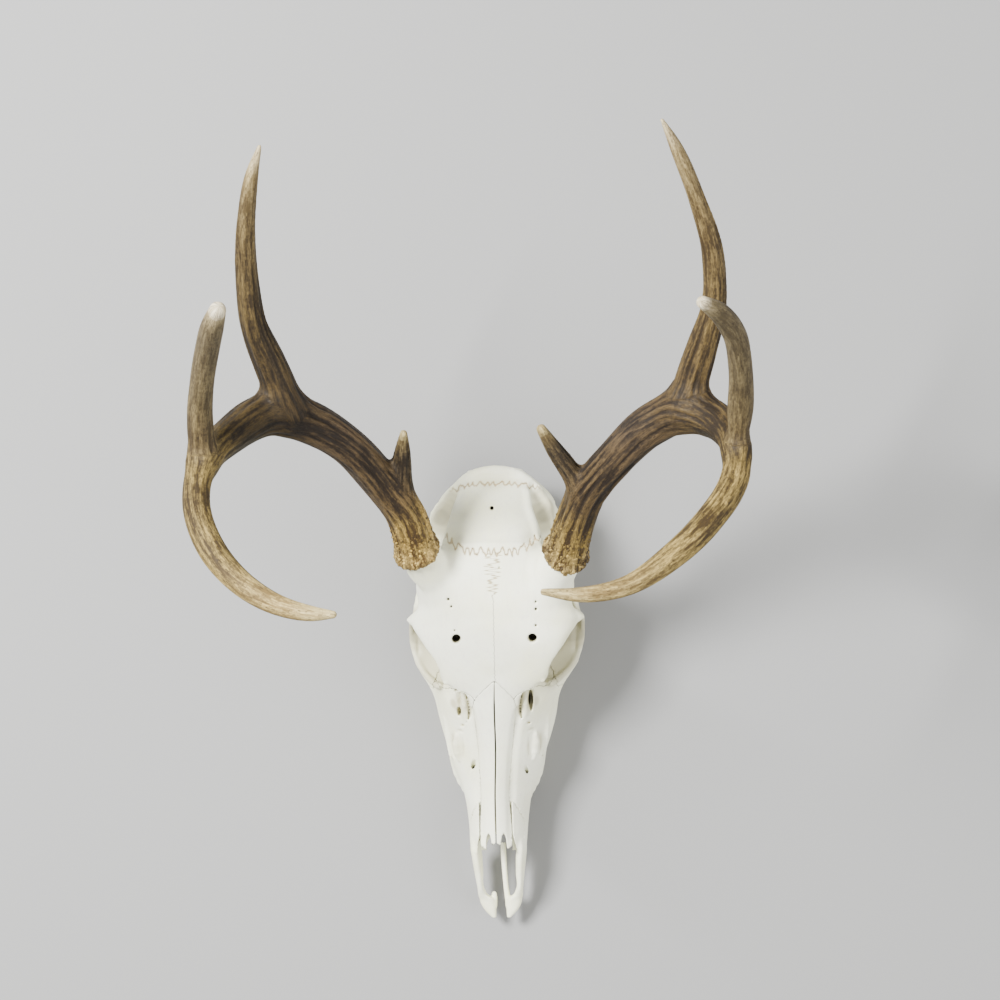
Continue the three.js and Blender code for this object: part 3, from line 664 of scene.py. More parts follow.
def mesh_piece(name, points, faces, finish, **attributes):
    """A mesh object of points in the part's frame, in metres, with one material and some point attributes."""
    mesh = bpy.data.meshes.new(name)
    mesh.vertices.add(len(points))
    mesh.vertices.foreach_set("co", points.astype(np.float32).ravel())
    mesh.loops.add(faces.size)
    mesh.loops.foreach_set("vertex_index", faces.astype(np.int32).ravel())
    mesh.polygons.add(len(faces))
    mesh.polygons.foreach_set("loop_start", np.arange(0, faces.size, 4, dtype=np.int32))
    mesh.update(calc_edges=True)
    for key, values in attributes.items():
        layer = mesh.attributes.new(key, "FLOAT", "POINT")
        layer.data.foreach_set("value", np.asarray(values, np.float32))
    mesh.polygons.foreach_set("use_smooth", np.ones(len(faces), bool))
    mesh.materials.append(finish)
    piece = bpy.data.objects.new(name, mesh)
    bpy.context.scene.collection.objects.link(piece)
    return piece


def blurred(d, reach):
    """How full of bone the space round each grid point is, from 0 to 1."""
    full = (d < 0).astype(np.float32)
    width = 2 * reach + 1
    for axis in range(3):
        pad = [(0, 0)] * 3
        pad[axis] = (reach + 1, reach)
        run = np.cumsum(np.pad(full, pad, mode="edge"), axis=axis, dtype=np.float64)
        size = full.shape[axis]
        last, first = (np.take(run, range(at, at + size), axis) for at in (width, 0))
        full = ((last - first) / width).astype(np.float32)
    return full


def sampled(values, axes, points):
    """Values of a grid at some points, each from the eight grid points round it."""
    total, step = np.zeros(len(points)), axes[0][1] - axes[0][0]
    place = (points - np.array([axis[0] for axis in axes])) / step
    base = np.clip(np.floor(place).astype(int), 0, np.array(values.shape) - 2)
    part = np.clip(place - base, 0, 1)
    for i, j, k in np.ndindex(2, 2, 2):
        share = abs(1 - i - part[:, 0]) * abs(1 - j - part[:, 1]) * abs(1 - k - part[:, 2])
        total += share * values[base[:, 0] + i, base[:, 1] + j, base[:, 2] + k]
    return total


def shaded(points):
    """Places painted darker and yellower, mostly as painted shade: the sockets, the gaps in front of them,
    the nose, the nape, the base, the temples and the holes; beside the coronal suture it is a real tan tint.
    """
    total = np.zeros(len(points))
    # Where each is, from the midline, the snout and the table, how far it reaches, and how strong it is.
    for x, y, z, reach, amount in (
        (38, 168, 58, 20, 1.25), (47, 182, 46, 14, 1.25), (33, 253, 70, 11, 1.3), (20, 138, 67, 9, 0.75),
        (26, 113.5, 47.5, 8, 0.6), (0, 276, 72, 15, 0.55), (17.8, 92, 37, 2.3, 1.9),
        (24, 120, 8, 30, 0.6), (0, 70, 28, 22, 0.7), (0, 235, 92, 12, 0.45), (22, 236, 92, 9, 0.55),
        (38, 150, 62, 10, 0.6), (15, 262, 30, 25, 0.6), (0, 180, 28, 30, 0.55), (44, 250, 50, 12, 0.4),
        (23, 180.2, 84.5, 4.6, 1.9), (0, 257, 84, 4, 1.7), (33, 252, 42.5, 3, 1.6), (21.8, 140, 60, 4.5, 1.7),
        (15.6, 134, 60, 4, 1.6), (28, 264, 68, 7, 0.8),
    ):
        away = np.stack([np.abs(points[:, 0]) - x, points[:, 1] - y, points[:, 2] - z], 1)
        away = np.linalg.norm(away, axis=1) / reach
        total = np.maximum(total, amount * fade(away, 1.6, 0.6))
    return total


# ---- Parting the skull -------------------------------------------------------------------------------
# The bones are cut from the whole skull one after another. Each takes what lies in its own region and
# what the bones before it have left, and a narrow gap stays along every suture.

fullness = blurred(skull.d, reach=5)
SUTURE = 0.18  # gap between two bones
taken = []  # regions of the bones that are already made


def both_within(*parts):
    """Signed distance to what several bodies share."""
    return functools.reduce(np.maximum, parts)


def either(*parts):
    """Signed distance to several bodies together."""
    return functools.reduce(np.minimum, parts)


def bone(name, low, high, region, stands_for, finish=dry_bone):
    """Makes one bone: what lies in its region, of what the bones before it have left."""
    cut, grid = skull.window(low, high, 2 * STEP)
    own = both_within(region(*grid), *[SUTURE - earlier(*grid) for earlier in taken])
    own = np.broadcast_to(own, skull.d[cut].shape)
    axes = [g.ravel() for g in grid]
    corner = np.array([axis[0] for axis in axes])
    points, faces, cells = net(np.maximum(skull.d[cut], own), corner, STEP)
    points = sharpened(relax(points, faces, 2), cells, skull.d[cut], own, corner, STEP)
    points, faces = without_crumbs(points, faces)
    deep = sampled(own, axes, points)
    # Gristle has stained the sutures of the crown most.
    seam = np.maximum(fade(deep, -1.3, 0), 0.42 * fade(deep, -3.5, 0))
    crown = fade(points[:, 1], 222, 228) * fade(points[:, 2], 60, 72) * fade(np.abs(points[:, 0]), 32, 26)
    seam = seam * (0.22 + 0.78 * crown)
    # Painted shade, with some real yellowing: a point is painted darker and yellower the more bone closes
    # round it, and in the listed places below.
    hollow = np.clip((sampled(fullness, skull.axes, points) - 0.5) * 3 + 0.3, 0, 1)
    hollow = np.maximum(hollow, shaded(points))
    points = unevenness(points) * MM + ORIGIN
    piece = mesh_piece(name, points, faces, finish, seam=seam, hollow=hollow)
    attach(piece, "root")
    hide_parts(*stands_for)


def squiggle(t, size, length):
    """The line of a suture: it winds, and no two bends are alike."""
    turn, small_turn = 6.28, 14.1
    bent = t + 0.2 * length * np.sin(t * 2.1 / length + 0.7)
    return size * (np.sin(bent * turn / length) + 0.45 * np.sin(bent * small_turn / length + 1.9))


def box_region(low, high):
    """Signed distance to a box, whose faces wind slightly as sutures do."""

    def distance(x, y, z):
        wx = x + squiggle(y + 0.6 * z, 0.4, 6.0)
        wy = y + squiggle(x + 0.8 * z, 0.5, 5.0)
        wz = z + squiggle(y + 0.5 * x, 0.4, 5.5)
        return both_within(*[np.maximum(a - g, g - b) for a, b, g in zip(low, high, (wx, wy, wz))])

    return distance


def on_side(sign, region):
    """A region of the animal's left side, or its mirror image."""
    return lambda x, y, z: region(x * sign, y, z)


def sided(sign, low, high):
    """A box of the animal's left side, or its mirror image."""
    ends = sorted([sign * low[0], sign * high[0]])
    return [ends[0], *low[1:]], [ends[1], *high[1:]]


# ---- Nasal bones -------------------------------------------------------------------------------------
# Two long thin bones roof the nose. Each ends in front in two prongs, and they never quite touch, so that
# a dark slit runs down between them.

NASAL_GAP = 1.0  # width of the slit between them
NASAL_END = 152.5  # how far back they reach
NASAL_Y = [40, 60, 84, 110, 128, 140, NASAL_END]


def nasal_edges(y, z):
    """How far out a nasal bone reaches, and how far a point lies below its underside."""
    half = smooth(y.ravel(), NASAL_Y, [9.2, 9.6, 9.8, 10.5, 12.8, 12.3, 0.6])[None, :, None]
    top = smooth(y.ravel(), NASAL_Y, [44, 49.5, 56, 64, 71, 76, 80.5])[None, :, None]
    return half + squiggle(y, 0.15, 5), top - 6.5 - z


def nasal_region(x, y, z):
    """One nasal bone, with its two prongs in front."""
    half, under = nasal_edges(y, z)
    prongs = 47 + 0.6 * np.abs(x - 7) - y
    notch = 4.2 - np.sqrt(((x - 4.6) * 2.3) ** 2 + ((y - 48.6) * 0.5) ** 2)
    slit = 0.15 + (NASAL_GAP / 2 - 0.15) * fade(y, 151, 137)
    return both_within(slit - x, x - half, under, prongs, notch, y - NASAL_END)


def nasal_room(x, y, z):
    """The space of both nasal bones, with the slits beside their fronts."""
    half, under = nasal_edges(y, z)
    slit = 0.55 * fade(y, 82, 78)
    return both_within(np.abs(x) - half - slit, under, y - NASAL_END)


for side, sign in SIDES.items():
    low, high = sided(sign, [0.5, 44, 36], [15, 155, 86])
    bone(f"{side}_nasal", low, high, on_side(sign, nasal_region), [f"{side}_nasal_bone"])
taken.append(nasal_room)


# ---- Cheek bones -------------------------------------------------------------------------------------
# The lower rim of each eye socket and the front of the arch behind it. A slanting joint holds each to the
# temple, and a winding one to the upper jaw.


def zygomatic(x, y, z):
    """One cheek bone: it meets the temple's part of the arch in a slanting joint."""
    front = 141 + 0.25 * (68 - z) + squiggle(z, 0.4, 5)
    back = 213 + 0.8 * (z - 42) + squiggle(z, 0.3, 4)
    inner = 33.5 + np.clip(y - 192, 0, 9) + 0.5 * np.clip(160 - y, 0, 9) + squiggle(y, 0.4, 5)
    under = either(33.5 - z, both_within(168.6 - y, 24 - z))
    return both_within(inner - x, front - y, y - back, under, z - 66 + squiggle(x + y, 0.3, 4))


for side, sign in SIDES.items():
    low, high = sided(sign, [33, 138, 22], [58, 216, 70])
    bone(f"{side}_cheek", low, high, on_side(sign, zygomatic), [f"{side}_zygomatic_bone"])
taken.append(lambda x, y, z: zygomatic(np.abs(x), y, z))


# ---- Back of the skull -------------------------------------------------------------------------------
# The occipital bone holds the opening for the spine, the two condyles that the neck carried, and the
# prongs beside them that the skull rests on.


def occipital(x, y, z):
    """The bone of the nape: its upper edge, the lambdoid suture, winds across under the crest."""
    edge = np.interp(z.ravel(), [0, 56, 64, 80], [262, 262, 269, 273.2])[None, None, :]
    return edge + squiggle(x, 1.5, 4.3) * np.clip((z - 60) / 8, 0.3, 1) - y


bone("nape", [-42, 258, -1], [42, 289, 84], occipital, ["occipital_bone"])
taken.append(occipital)


# ---- Temples -----------------------------------------------------------------------------------------
# Each holds the joint of the lower jaw, the ear and the back of the cheek's arch. It laps like a plate
# over the side of the braincase.


def temporal(x, y, z):
    """One temple: an arched plate on the braincase's side, with the arch's root."""
    top = 62 - 0.03 * (y - 240) ** 2 + squiggle(y, 0.5, 5)
    front = 214 + 0.6 * np.clip(26 - x, 0, 14) + squiggle(x + z, 0.5, 5)
    middle = 10.5 + 0.08 * (263 - y) + squiggle(y, 0.5, 6)
    plate = both_within(middle - x, front - y, z - np.clip(top, 46, 62))
    arch = both_within(40 - x, 203 + 0.8 * (z - 42) - y, y - 215, z - 60)
    return both_within(either(plate, arch), y - 263)


for side, sign in SIDES.items():
    low, high = sided(sign, [8.5, 198, 16], [58, 266, 64])
    bone(f"{side}_temple", low, high, on_side(sign, temporal), [f"{side}_temporal_bone"])
taken.append(lambda x, y, z: temporal(np.abs(x), y, z))


# ---- Upper jaws --------------------------------------------------------------------------------------
# The sides of the muzzle and the palate, with six cheek teeth a side rooted in them. In front they carry
# the snout bones in a long slanting joint.


def behind_snout(z):
    """How far back the snout bones reach at a height, where they overlap the upper jaws in a long slant."""
    return np.clip(48 + 1.15 * (z - 22), 48, 79) + squiggle(z, 0.3, 5)


def maxilla(x, y, z):
    """One upper jaw: its upper edge runs back from the nasal bones to the socket's rim."""
    edge = np.interp(x.ravel(), [12, 16, 24, 33, 36], [141, 145, 148, 148, 153])[:, None, None]
    back = edge + squiggle(x, 0.35, 4.5)
    front = both_within(y - back, z - 95, behind_snout(z) + SUTURE - y)
    bed = both_within(y - 169 - squiggle(z, 0.4, 5), z - 33.5 - squiggle(y, 0.4, 5.5))
    return both_within(either(front, bed), 0.1 - x)


for side, sign in SIDES.items():
    low, high = sided(sign, [0, 44, 6], [48, 170, 80])
    bone(f"{side}_upper_jaw", low, high, on_side(sign, maxilla), [f"{side}_maxilla"])
taken.append(lambda x, y, z: maxilla(np.abs(x) + 0.1, y, z))


# ---- Base, top and forehead --------------------------------------------------------------------------
# The sphenoid bone closes the braincase below, the parietal bone above, and the frontal bone roofs the
# eye sockets and bears the antlers. Their edges wind into each other and hold without any other fixing.

sphenoid = box_region([-40, 139, -1], [40, 263, 44])
bone("skull_base", [-42, 137, 8], [42, 266, 46], sphenoid, ["sphenoid_bone"])
taken.append(sphenoid)


def parietal(x, y, z):
    """The roof of the braincase: its front edge, the coronal suture, bends back towards the sides."""
    away = np.abs(x)
    roof = 231.4 + 6 * np.clip(away / 25, 0, 1.1) ** 3 + 0.9 * np.clip(away - 27, 0, 12)
    roof = roof + squiggle(x, 2.3, 4.2)
    side = 235 + squiggle(z, 0.8, 6)
    edge = side + (roof - side) * fade(z, 72, 82)
    return both_within(edge - y, 43 - z, y - 278)


bone("crown", [-42, 226, 40], [42, 281, 104], parietal, ["parietal_bone"])
taken.append(parietal)

frontal = box_region([-60, 140, 30], [60, 248, 130])
bone("forehead", [-58, 138, 28], [58, 250, 118], frontal, ["frontal_bone"], forehead_bone)
taken.append(frontal)


# ---- Premaxillae -------------------------------------------------------------------------------------
# The two thin bones at the snout's tip. A rod of each runs back along the midline; the right one is broken
# off to a stub.


def premaxilla_plate():
    """The thin plate of a snout bone: y, x, half width, lower and upper edge of each section."""
    rows = [
        [0, 4.6, 1.2, 11, 14.4], [4, 6.4, 3.2, 10, 16], [9, 8, 4.5, 10, 17.6], [12.4, 8.9, 4.4, 10.5, 19],
        [15, 10.9, 3, 11, 20.8], [18, 11.8, 2.3, 11, 23.4], [30, 13, 2.7, 12, 30],
        [40, 13.8, 3.1, 12.6, 34.6], [46, 14.3, 3, 16.5, 36], [51, 13.6, 2.6, 24, 35],
    ]
    sections = [[y, x, half, (low + high) / 2, low, high, 2.4, 2.2] for y, x, half, low, high in rows]
    return loft("y x half level bottom top above below", sections)


def premaxilla_rod(side):
    """The rod of a snout bone along the midline: whole on the left, broken off on the right."""
    if side == "left":
        return bar([
            [4.8, 8, 13, 2], [3.7, 17, 13.2, 1.6], [3, 30, 14.5, 1.6], [2.4, 44, 17.8, 1.7],
            [2.3, 52, 20.4, 1.5], [2.4, 57, 21.6, 1.1],
        ], step=2)
    return bar([[4.8, 8, 13, 2.2], [4.2, 13, 13.5, 1.9], [4.1, 15.2, 14, 1.5]], step=1)


SNOUT_STEP = 0.5  # spacing of the snout bones' grid

for side, sign in SIDES.items():
    tip = Field([-1, -1, 6], [21, 82, 54], SNOUT_STEP)
    tip.add(muzzle)
    tip.cut(nose, 0.5)
    x, y, z = np.ix_(*tip.axes)
    behind, roofed = y - behind_snout(z), SUTURE - nasal_room(x, y, z)
    inner = 10 + 0.08 * np.clip(58 - y, 0, 14)
    wall = both_within(tip.d, behind, roofed, 24 - z, inner - x)
    # The muzzle's wall thins out towards the tip, where the plate carries it on.
    tip.d = wall + 0.12 * np.clip(56 - y, 0, 12) + 0.8 * np.clip(44 - y, 0, 40)
    tip.add(premaxilla_plate(), 3)
    tip.add(premaxilla_rod(side), 1.5)
    tip.d = both_within(tip.d, behind, roofed)
    points, faces = without_crumbs(*tip.surface(2))
    if sign < 0:
        points, faces = points * [-1, 1, 1], faces[:, ::-1]
    # Painted shade, with some real yellowing, as on the other bones.
    hollow = shaded(points)
    points = unevenness(points) * MM + ORIGIN
    piece = mesh_piece(f"{side}_snout", points, faces, dry_bone, seam=np.zeros(len(points)), hollow=hollow)
    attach(piece, "root")
    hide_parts(f"{side}_premaxilla")


# ---- Cheek teeth -------------------------------------------------------------------------------------
# Three premolars of one lobe and three molars of two in each jaw. Their enamel stands up round softer,
# browner dentine in crescents, and the skull rests on it.

TOOTH_STEP = 0.45  # spacing of the teeth's grid
LOBES = [  # where each lobe starts, its length and its width
    (87.0, 9.5, 8.5), (96.5, 10, 10.5), (106.5, 10, 12), (116.5, 7, 13.5), (123.5, 7, 13.5),
    (130.5, 8, 14.5), (138.5, 8, 14.5), (146.5, 8.3, 14), (154.8, 8.3, 13),
]
ROW_START = LOBES[0][0]
ROW_LENGTH = 76.1
enamel = bone_material("tooth")


def normals(points, faces):
    """Directions out of the surface at its points."""
    corners = points[faces]
    faced = np.cross(corners[:, 2] - corners[:, 0], corners[:, 3] - corners[:, 1])
    total = np.stack([
        sum(np.bincount(faces[:, i], faced[:, axis], len(points)) for i in range(4)) for axis in range(3)
    ], 1)
    return total / np.maximum(np.linalg.norm(total, axis=1), 1e-9)[:, None]


def tooth_row():
    """The left row of cheek teeth, which curves outwards towards the back."""
    row = Field([13, 85, -1.2], [36, 165, 14], TOOTH_STEP)
    sharp = 3  # of the folds between the lobes, which run into each other
    x, y, z = np.ix_(*row.axes)
    for start, long, wide in LOBES:
        inner = 15.5 + 4 * math.sin((start - ROW_START) / ROW_LENGTH * math.pi / 2)
        u = (x - inner - wide / 2) / (wide / 2)
        v = (y - start - long / 2) / (long / 2)
        lean = v + 0.12 * u
        out = (np.abs(u) ** 2.4 + np.abs(lean) ** 2.8) ** (1 / 2.6)
        flare = 1 - 0.012 * z
        body = (out / flare - 1.02) * min(wide, long) / 2 * 0.9
        # The chewing surface: a ridge along the crescent of each lobe, and a rim of enamel round it.
        pit = np.abs(u - 0.05 - 0.32 * (1 - v**2)) * wide / 2
        crown = 0.25 + 1.5 * np.exp(-((pit / 1.1) ** 2)) * np.clip(1.2 - v**2, 0, 1)
        crown = crown + 0.55 * fade(out, 0.86, 0.66) * (1 - np.exp(-(((pit - 2.2) / 0.6) ** 2)))
        lobe = both_within(body, crown + 0.25 * v**2 - z, z - 13)
        row.d = -np.log(sum(np.exp(-np.clip(d, -8, 8) * sharp) for d in (row.d, lobe))) / sharp
    row.d[:, :, 0] = 1
    return row.surface(1)


points, faces = tooth_row()
points[:, 2] = np.maximum(points[:, 2], 0)
high = points[:, 2]
down = np.clip(-normals(points, faces)[:, 2] * 1.6, 0, 1)
worn = down * fade(high, 0.25, 1.05) * 1.25 + fade(high, 5, 10) * 0.5
for side, sign in SIDES.items():
    at = points * [sign, 1, 1]
    turned = faces[:, ::sign]
    piece = mesh_piece(f"{side}_teeth", at * MM + ORIGIN, turned, enamel, seam=np.zeros(len(at)), hollow=worn)
    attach(piece, "root")
    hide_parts(f"{side}_maxilla")


# ---- Antlers -----------------------------------------------------------------------------------------
# Each is one bone: a burr, a beam and its tines, rough and streaked brown below, and worn to ivory at its
# points. Every row is a point of a centre line and the antler's radius there.

ANTLERS = {
    "right": {
        "beam": [
            [*BURRS["right"], 12.6], [-52.6, 258, 138, 11.4], [-62, 271.3, 152, 11.1],
            [-87, 298.8, 180, 11.2], [-103.4, 308.6, 191, 12.4], [-121.6, 314, 202, 12.2],
            [-146, 301, 230, 10], [-159.4, 283, 254, 8.1], [-160.8, 263, 269, 7.5],
            [-151, 238.3, 284, 7.5], [-135, 220.7, 295, 6.9], [-115, 209, 305, 5.6],
            [-95.2, 204.2, 313, 3.9], [-85, 203.8, 317.3, 2.1],
        ],
        "brow": [
            [-55, 262, 142, 7.4], [-52.8, 279, 156, 6], [-51.4, 292.5, 168, 4.4], [-50.4, 301.8, 176.8, 2.2],
        ],
        "second": [
            [-114.5, 316, 203, 9.8], [-122.8, 340.5, 217, 9.2], [-131, 363.9, 234, 7.3],
            [-132.5, 383, 248, 6.3], [-130.2, 418.9, 275, 4.9], [-125, 441, 293.5, 3.4],
            [-120.4, 453.4, 301, 1.2],
        ],
        "third": [
            [-158.5, 286, 250, 4], [-158.8, 298, 257, 6.8], [-158.2, 313, 268, 6.9],
            [-154.8, 329, 287, 6.6], [-149, 346, 312, 6.5], [-143.6, 357.5, 336, 5.9],
            [-139.8, 363.6, 349.2, 4.4],
        ],
    },
    "left": {
        "beam": [
            [*BURRS["left"], 12.6], [49.4, 252, 136, 11.4], [54.4, 264.6, 150, 11],
            [69.6, 283.6, 171, 10.8], [91, 303.4, 192, 12], [109, 311, 206, 12], [124.8, 305.6, 221, 10.4],
            [134.6, 286, 249, 7.8], [133.4, 274.4, 259, 7.8], [117.2, 250, 281, 7.7], [95.8, 231, 297, 7.1],
            [70.4, 215.7, 309, 5.3], [44, 211.8, 317.5, 3.9], [26.2, 213.8, 320.9, 1.9],
        ],
        "brow": [
            [54, 262, 146, 7], [44.2, 280.1, 162, 5.6], [36.2, 291.2, 171, 4.7], [28.7, 302.8, 180, 2.9],
        ],
        "second": [
            [109, 313, 206, 9.8], [118.6, 345, 223, 9], [124.2, 366, 238, 7], [123, 396.3, 259, 5.9],
            [113.6, 423.7, 279, 4.5], [100.2, 452.4, 299, 3], [94.2, 463, 305, 1],
        ],
        "third": [
            [135, 288, 250, 3.6], [136, 304.4, 260, 6.6], [134.8, 330, 288, 6.5], [130, 347.5, 313, 6.3],
            [119.2, 359, 337, 5.3], [110.9, 362.8, 349.5, 3.4],
        ],
    },
}
JOINS = {"beam": 1, "brow": 6, "second": 10, "third": 11}  # how softly each runs into what it grew from
ANTLER_STEP = 0.9  # spacing of the antlers' grid
LINE_STEP = 2.0  # spacing of the points that a beam or tine is followed by
PARTS = ["burr", "lower_beam", "middle_beam", "beam_tip", "brow_tine", "second_tine", "third_tine"]
VEIN = (0.02, 0.012, 0.006, 1)
WEATHERED_BURR = (0.55, 0.40, 0.14)


def antler_material():
    made, start, shader = material("antler")
    run = start.node("ShaderNodeAttribute", {"attribute_name": "run"})[VECTOR]
    ridge = start.node("ShaderNodeAttribute", {"attribute_name": "ridge"})[FACTOR]
    pale = start.node("ShaderNodeAttribute", {"attribute_name": "pale"})[VECTOR]
    deep = start.node("ShaderNodeAttribute", {"attribute_name": "deep"})[VECTOR]
    place = start.node("ShaderNodeTexCoord")[OBJECT]
    streaks = start.node("ShaderNodeTexNoise", Vector=run, Scale=0.5, Detail=5, Roughness=0.65)[0]
    hairs = start.node("ShaderNodeTexNoise", Vector=run, Scale=2.4, Detail=3, Roughness=0.6)[0]
    cloud = start.node("ShaderNodeTexNoise", Vector=place, Scale=40, Detail=3)[0]
    specks = start.node("ShaderNodeTexNoise", Vector=place, Scale=520, Detail=2)[0]
    veins = (start.node("ShaderNodeTexNoise", Vector=run, Scale=1.1, Detail=2, Roughness=0.5)[0] - 0.5).size()
    light = (streaks * 1.3 + ridge * 0.3 + cloud * 0.5 + specks * 0.3).ramp(0.86, 1.3)
    colour = light.mix(deep, pale)
    colour = ((1 - hairs.ramp(0.38, 0.52)) * 0.55).mix(colour, deep)
    colour = ((1 - veins.ramp(0.004, 0.03)) * 0.75).mix(colour, VEIN)
    height = streaks * 0.6 + hairs * 0.5 + specks * 0.25 + veins.ramp(0, 0.05) * 0.4
    normal = start.node("ShaderNodeBump", Strength=0.5, Distance=0.0007, Height=height)[0]
    plug(start, shader, Base_Color=colour, Roughness=0.55 + hairs * 0.2, Normal=normal)
    plug(start, shader, Specular_IOR_Level=0.22)
    return made


# Colours along a beam or tine, as shares of its length: the ridges', then the grooves'.
TONES = {
    "beam": [
        (0.0, (0.40, 0.27, 0.065), (0.055, 0.03, 0.008)),
        (0.08, (0.30, 0.20, 0.05), (0.035, 0.02, 0.006)),
        (0.13, (0.11, 0.07, 0.025), (0.012, 0.007, 0.003)),
        (0.30, (0.085, 0.055, 0.026), (0.011, 0.007, 0.004)),
        (0.40, (0.068, 0.043, 0.014), (0.009, 0.005, 0.002)),
        (0.52, (0.10, 0.065, 0.020), (0.013, 0.008, 0.003)),
        (0.59, (0.28, 0.195, 0.058), (0.025, 0.015, 0.004)),
        (0.80, (0.37, 0.265, 0.08), (0.045, 0.028, 0.008)),
        (0.93, (0.46, 0.35, 0.14), (0.18, 0.12, 0.04)),
        (1.0, (0.50, 0.41, 0.20), (0.30, 0.23, 0.10)),
    ],
    "brow": [
        (0.0, (0.085, 0.055, 0.022), (0.011, 0.007, 0.003)),
        (0.75, (0.085, 0.06, 0.028), (0.012, 0.008, 0.004)),
        (0.93, (0.20, 0.15, 0.06), (0.06, 0.04, 0.015)),
        (1.0, (0.46, 0.38, 0.18), (0.25, 0.19, 0.08)),
    ],
    "second": [
        (0.0, (0.09, 0.055, 0.017), (0.012, 0.007, 0.002)),
        (0.35, (0.15, 0.10, 0.032), (0.022, 0.013, 0.004)),
        (0.7, (0.22, 0.155, 0.06), (0.045, 0.028, 0.009)),
        (0.9, (0.34, 0.26, 0.12), (0.13, 0.09, 0.035)),
        (1.0, (0.50, 0.43, 0.26), (0.33, 0.26, 0.14)),
    ],
    "third": [
        (0.0, (0.17, 0.12, 0.045), (0.04, 0.025, 0.009)),
        (0.4, (0.165, 0.125, 0.058), (0.055, 0.039, 0.017)),
        (0.88, (0.18, 0.14, 0.07), (0.07, 0.051, 0.024)),
        (0.97, (0.30, 0.24, 0.13), (0.15, 0.115, 0.055)),
        (1.0, (0.60, 0.53, 0.38), (0.42, 0.35, 0.22)),
    ],
}

antler_finish = antler_material()

# How much lighter or darker each antler is than those tones, along it.
WEATHER = {
    ("right", "beam"): (
        [0, 0.1, 0.2, 0.34, 0.44, 0.52, 0.6, 0.78, 0.9], [1.4, 1.35, 0.95, 0.85, 0.55, 0.6, 0.76, 0.76, 1],
    ),
    ("right", "second"): ([0, 0.3, 0.7, 1], [0.5, 0.5, 0.66, 1]),
    ("right", "third"): ([0, 0.9, 1], [0.82, 0.82, 1]),
    ("left", "beam"): ([0, 0.08, 0.16, 0.3, 0.4], [0.68, 0.7, 0.8, 0.8, 1]),
    ("left", "second"): ([0, 0.9, 1], [0.86, 0.9, 1]),
    ("left", "third"): ([0, 0.9, 1], [0.8, 0.8, 1]),
}
EVEN = ([0, 1], [1, 1])

# How high the ridges stand along a beam or tine, at these shares of its length.
RIDGE_PLACES = [0, 0.1, 0.35, 0.5, 0.8, 1]
RIDGE_HEIGHTS = {
    "beam": [0.35, 0.95, 1, 0.6, 0.3, 0.05],
    "brow": [1, 1, 0.9, 0.8, 0.5, 0.1],
    "second": [0.9, 0.9, 0.75, 0.6, 0.3, 0.05],
    "third": [0.5, 0.45, 0.35, 0.3, 0.2, 0.05],
}
HIGHEST_RIDGE = 0.95


def frames(line):
    """Across and up directions along a centre line, with no twist between neighbours."""
    ahead = np.gradient(line[:, :3], axis=0)
    ahead /= np.linalg.norm(ahead, axis=1)[:, None]
    aslant = [0.3, 0.2, 0.9]  # any way that no beam or tine sets out in
    across = [np.cross(ahead[0], aslant)]
    for a in ahead[1:]:
        across.append(across[-1] - a * (across[-1] @ a))
        across[-1] /= np.linalg.norm(across[-1])
    across[0] /= np.linalg.norm(across[0])
    across = np.array(across)
    return across, np.cross(ahead, across)


def burr(shape, side):
    """A knobbly collar round the antler's foot, square to the pedicle it grew on."""
    foot, centre = np.array(PEDICLE_FEET[side], float), np.array(BURRS[side], float)
    axis = (centre - foot) / np.linalg.norm(centre - foot)
    across, up = frames(np.stack([centre, centre + axis]))
    cut, grid = shape.window(centre - 20, centre + 20, 0)
    off = [g - c for g, c in zip(grid, centre)]
    high, u, v = (sum(o * a for o, a in zip(off, way)) for way in (axis, across[0], up[0]))
    out, angle = np.sqrt(u**2 + v**2), np.arctan2(v, u)
    knobs = 0.45 * np.sin(3 * angle + 0.4) + 0.4 * np.cos(8 * angle + 1.9)
    knobs = knobs + 0.45 * np.sin(13 * angle + 0.5 * high)
    knobs = knobs + 0.35 * np.sin(21 * angle + 2 * np.sin(2 * angle))
    rim = np.sqrt((out - 11.6 - knobs) ** 2 + ((high + 0.5 * knobs) * 1.05) ** 2) - 2.9
    foot_disc = np.maximum(out - 12.5, np.abs(high) - 3)
    shape.merge(cut, np.minimum(rim, foot_disc), 3)
    # Its underside is hollowed for the pedicle, and nothing of the antler hangs below it.
    socket = np.maximum(out - 12, high + 1.2)
    below = np.where(out < 30, -(high + 5), -9)
    shape.d[cut] = both_within(shape.d[cut], -socket, below)


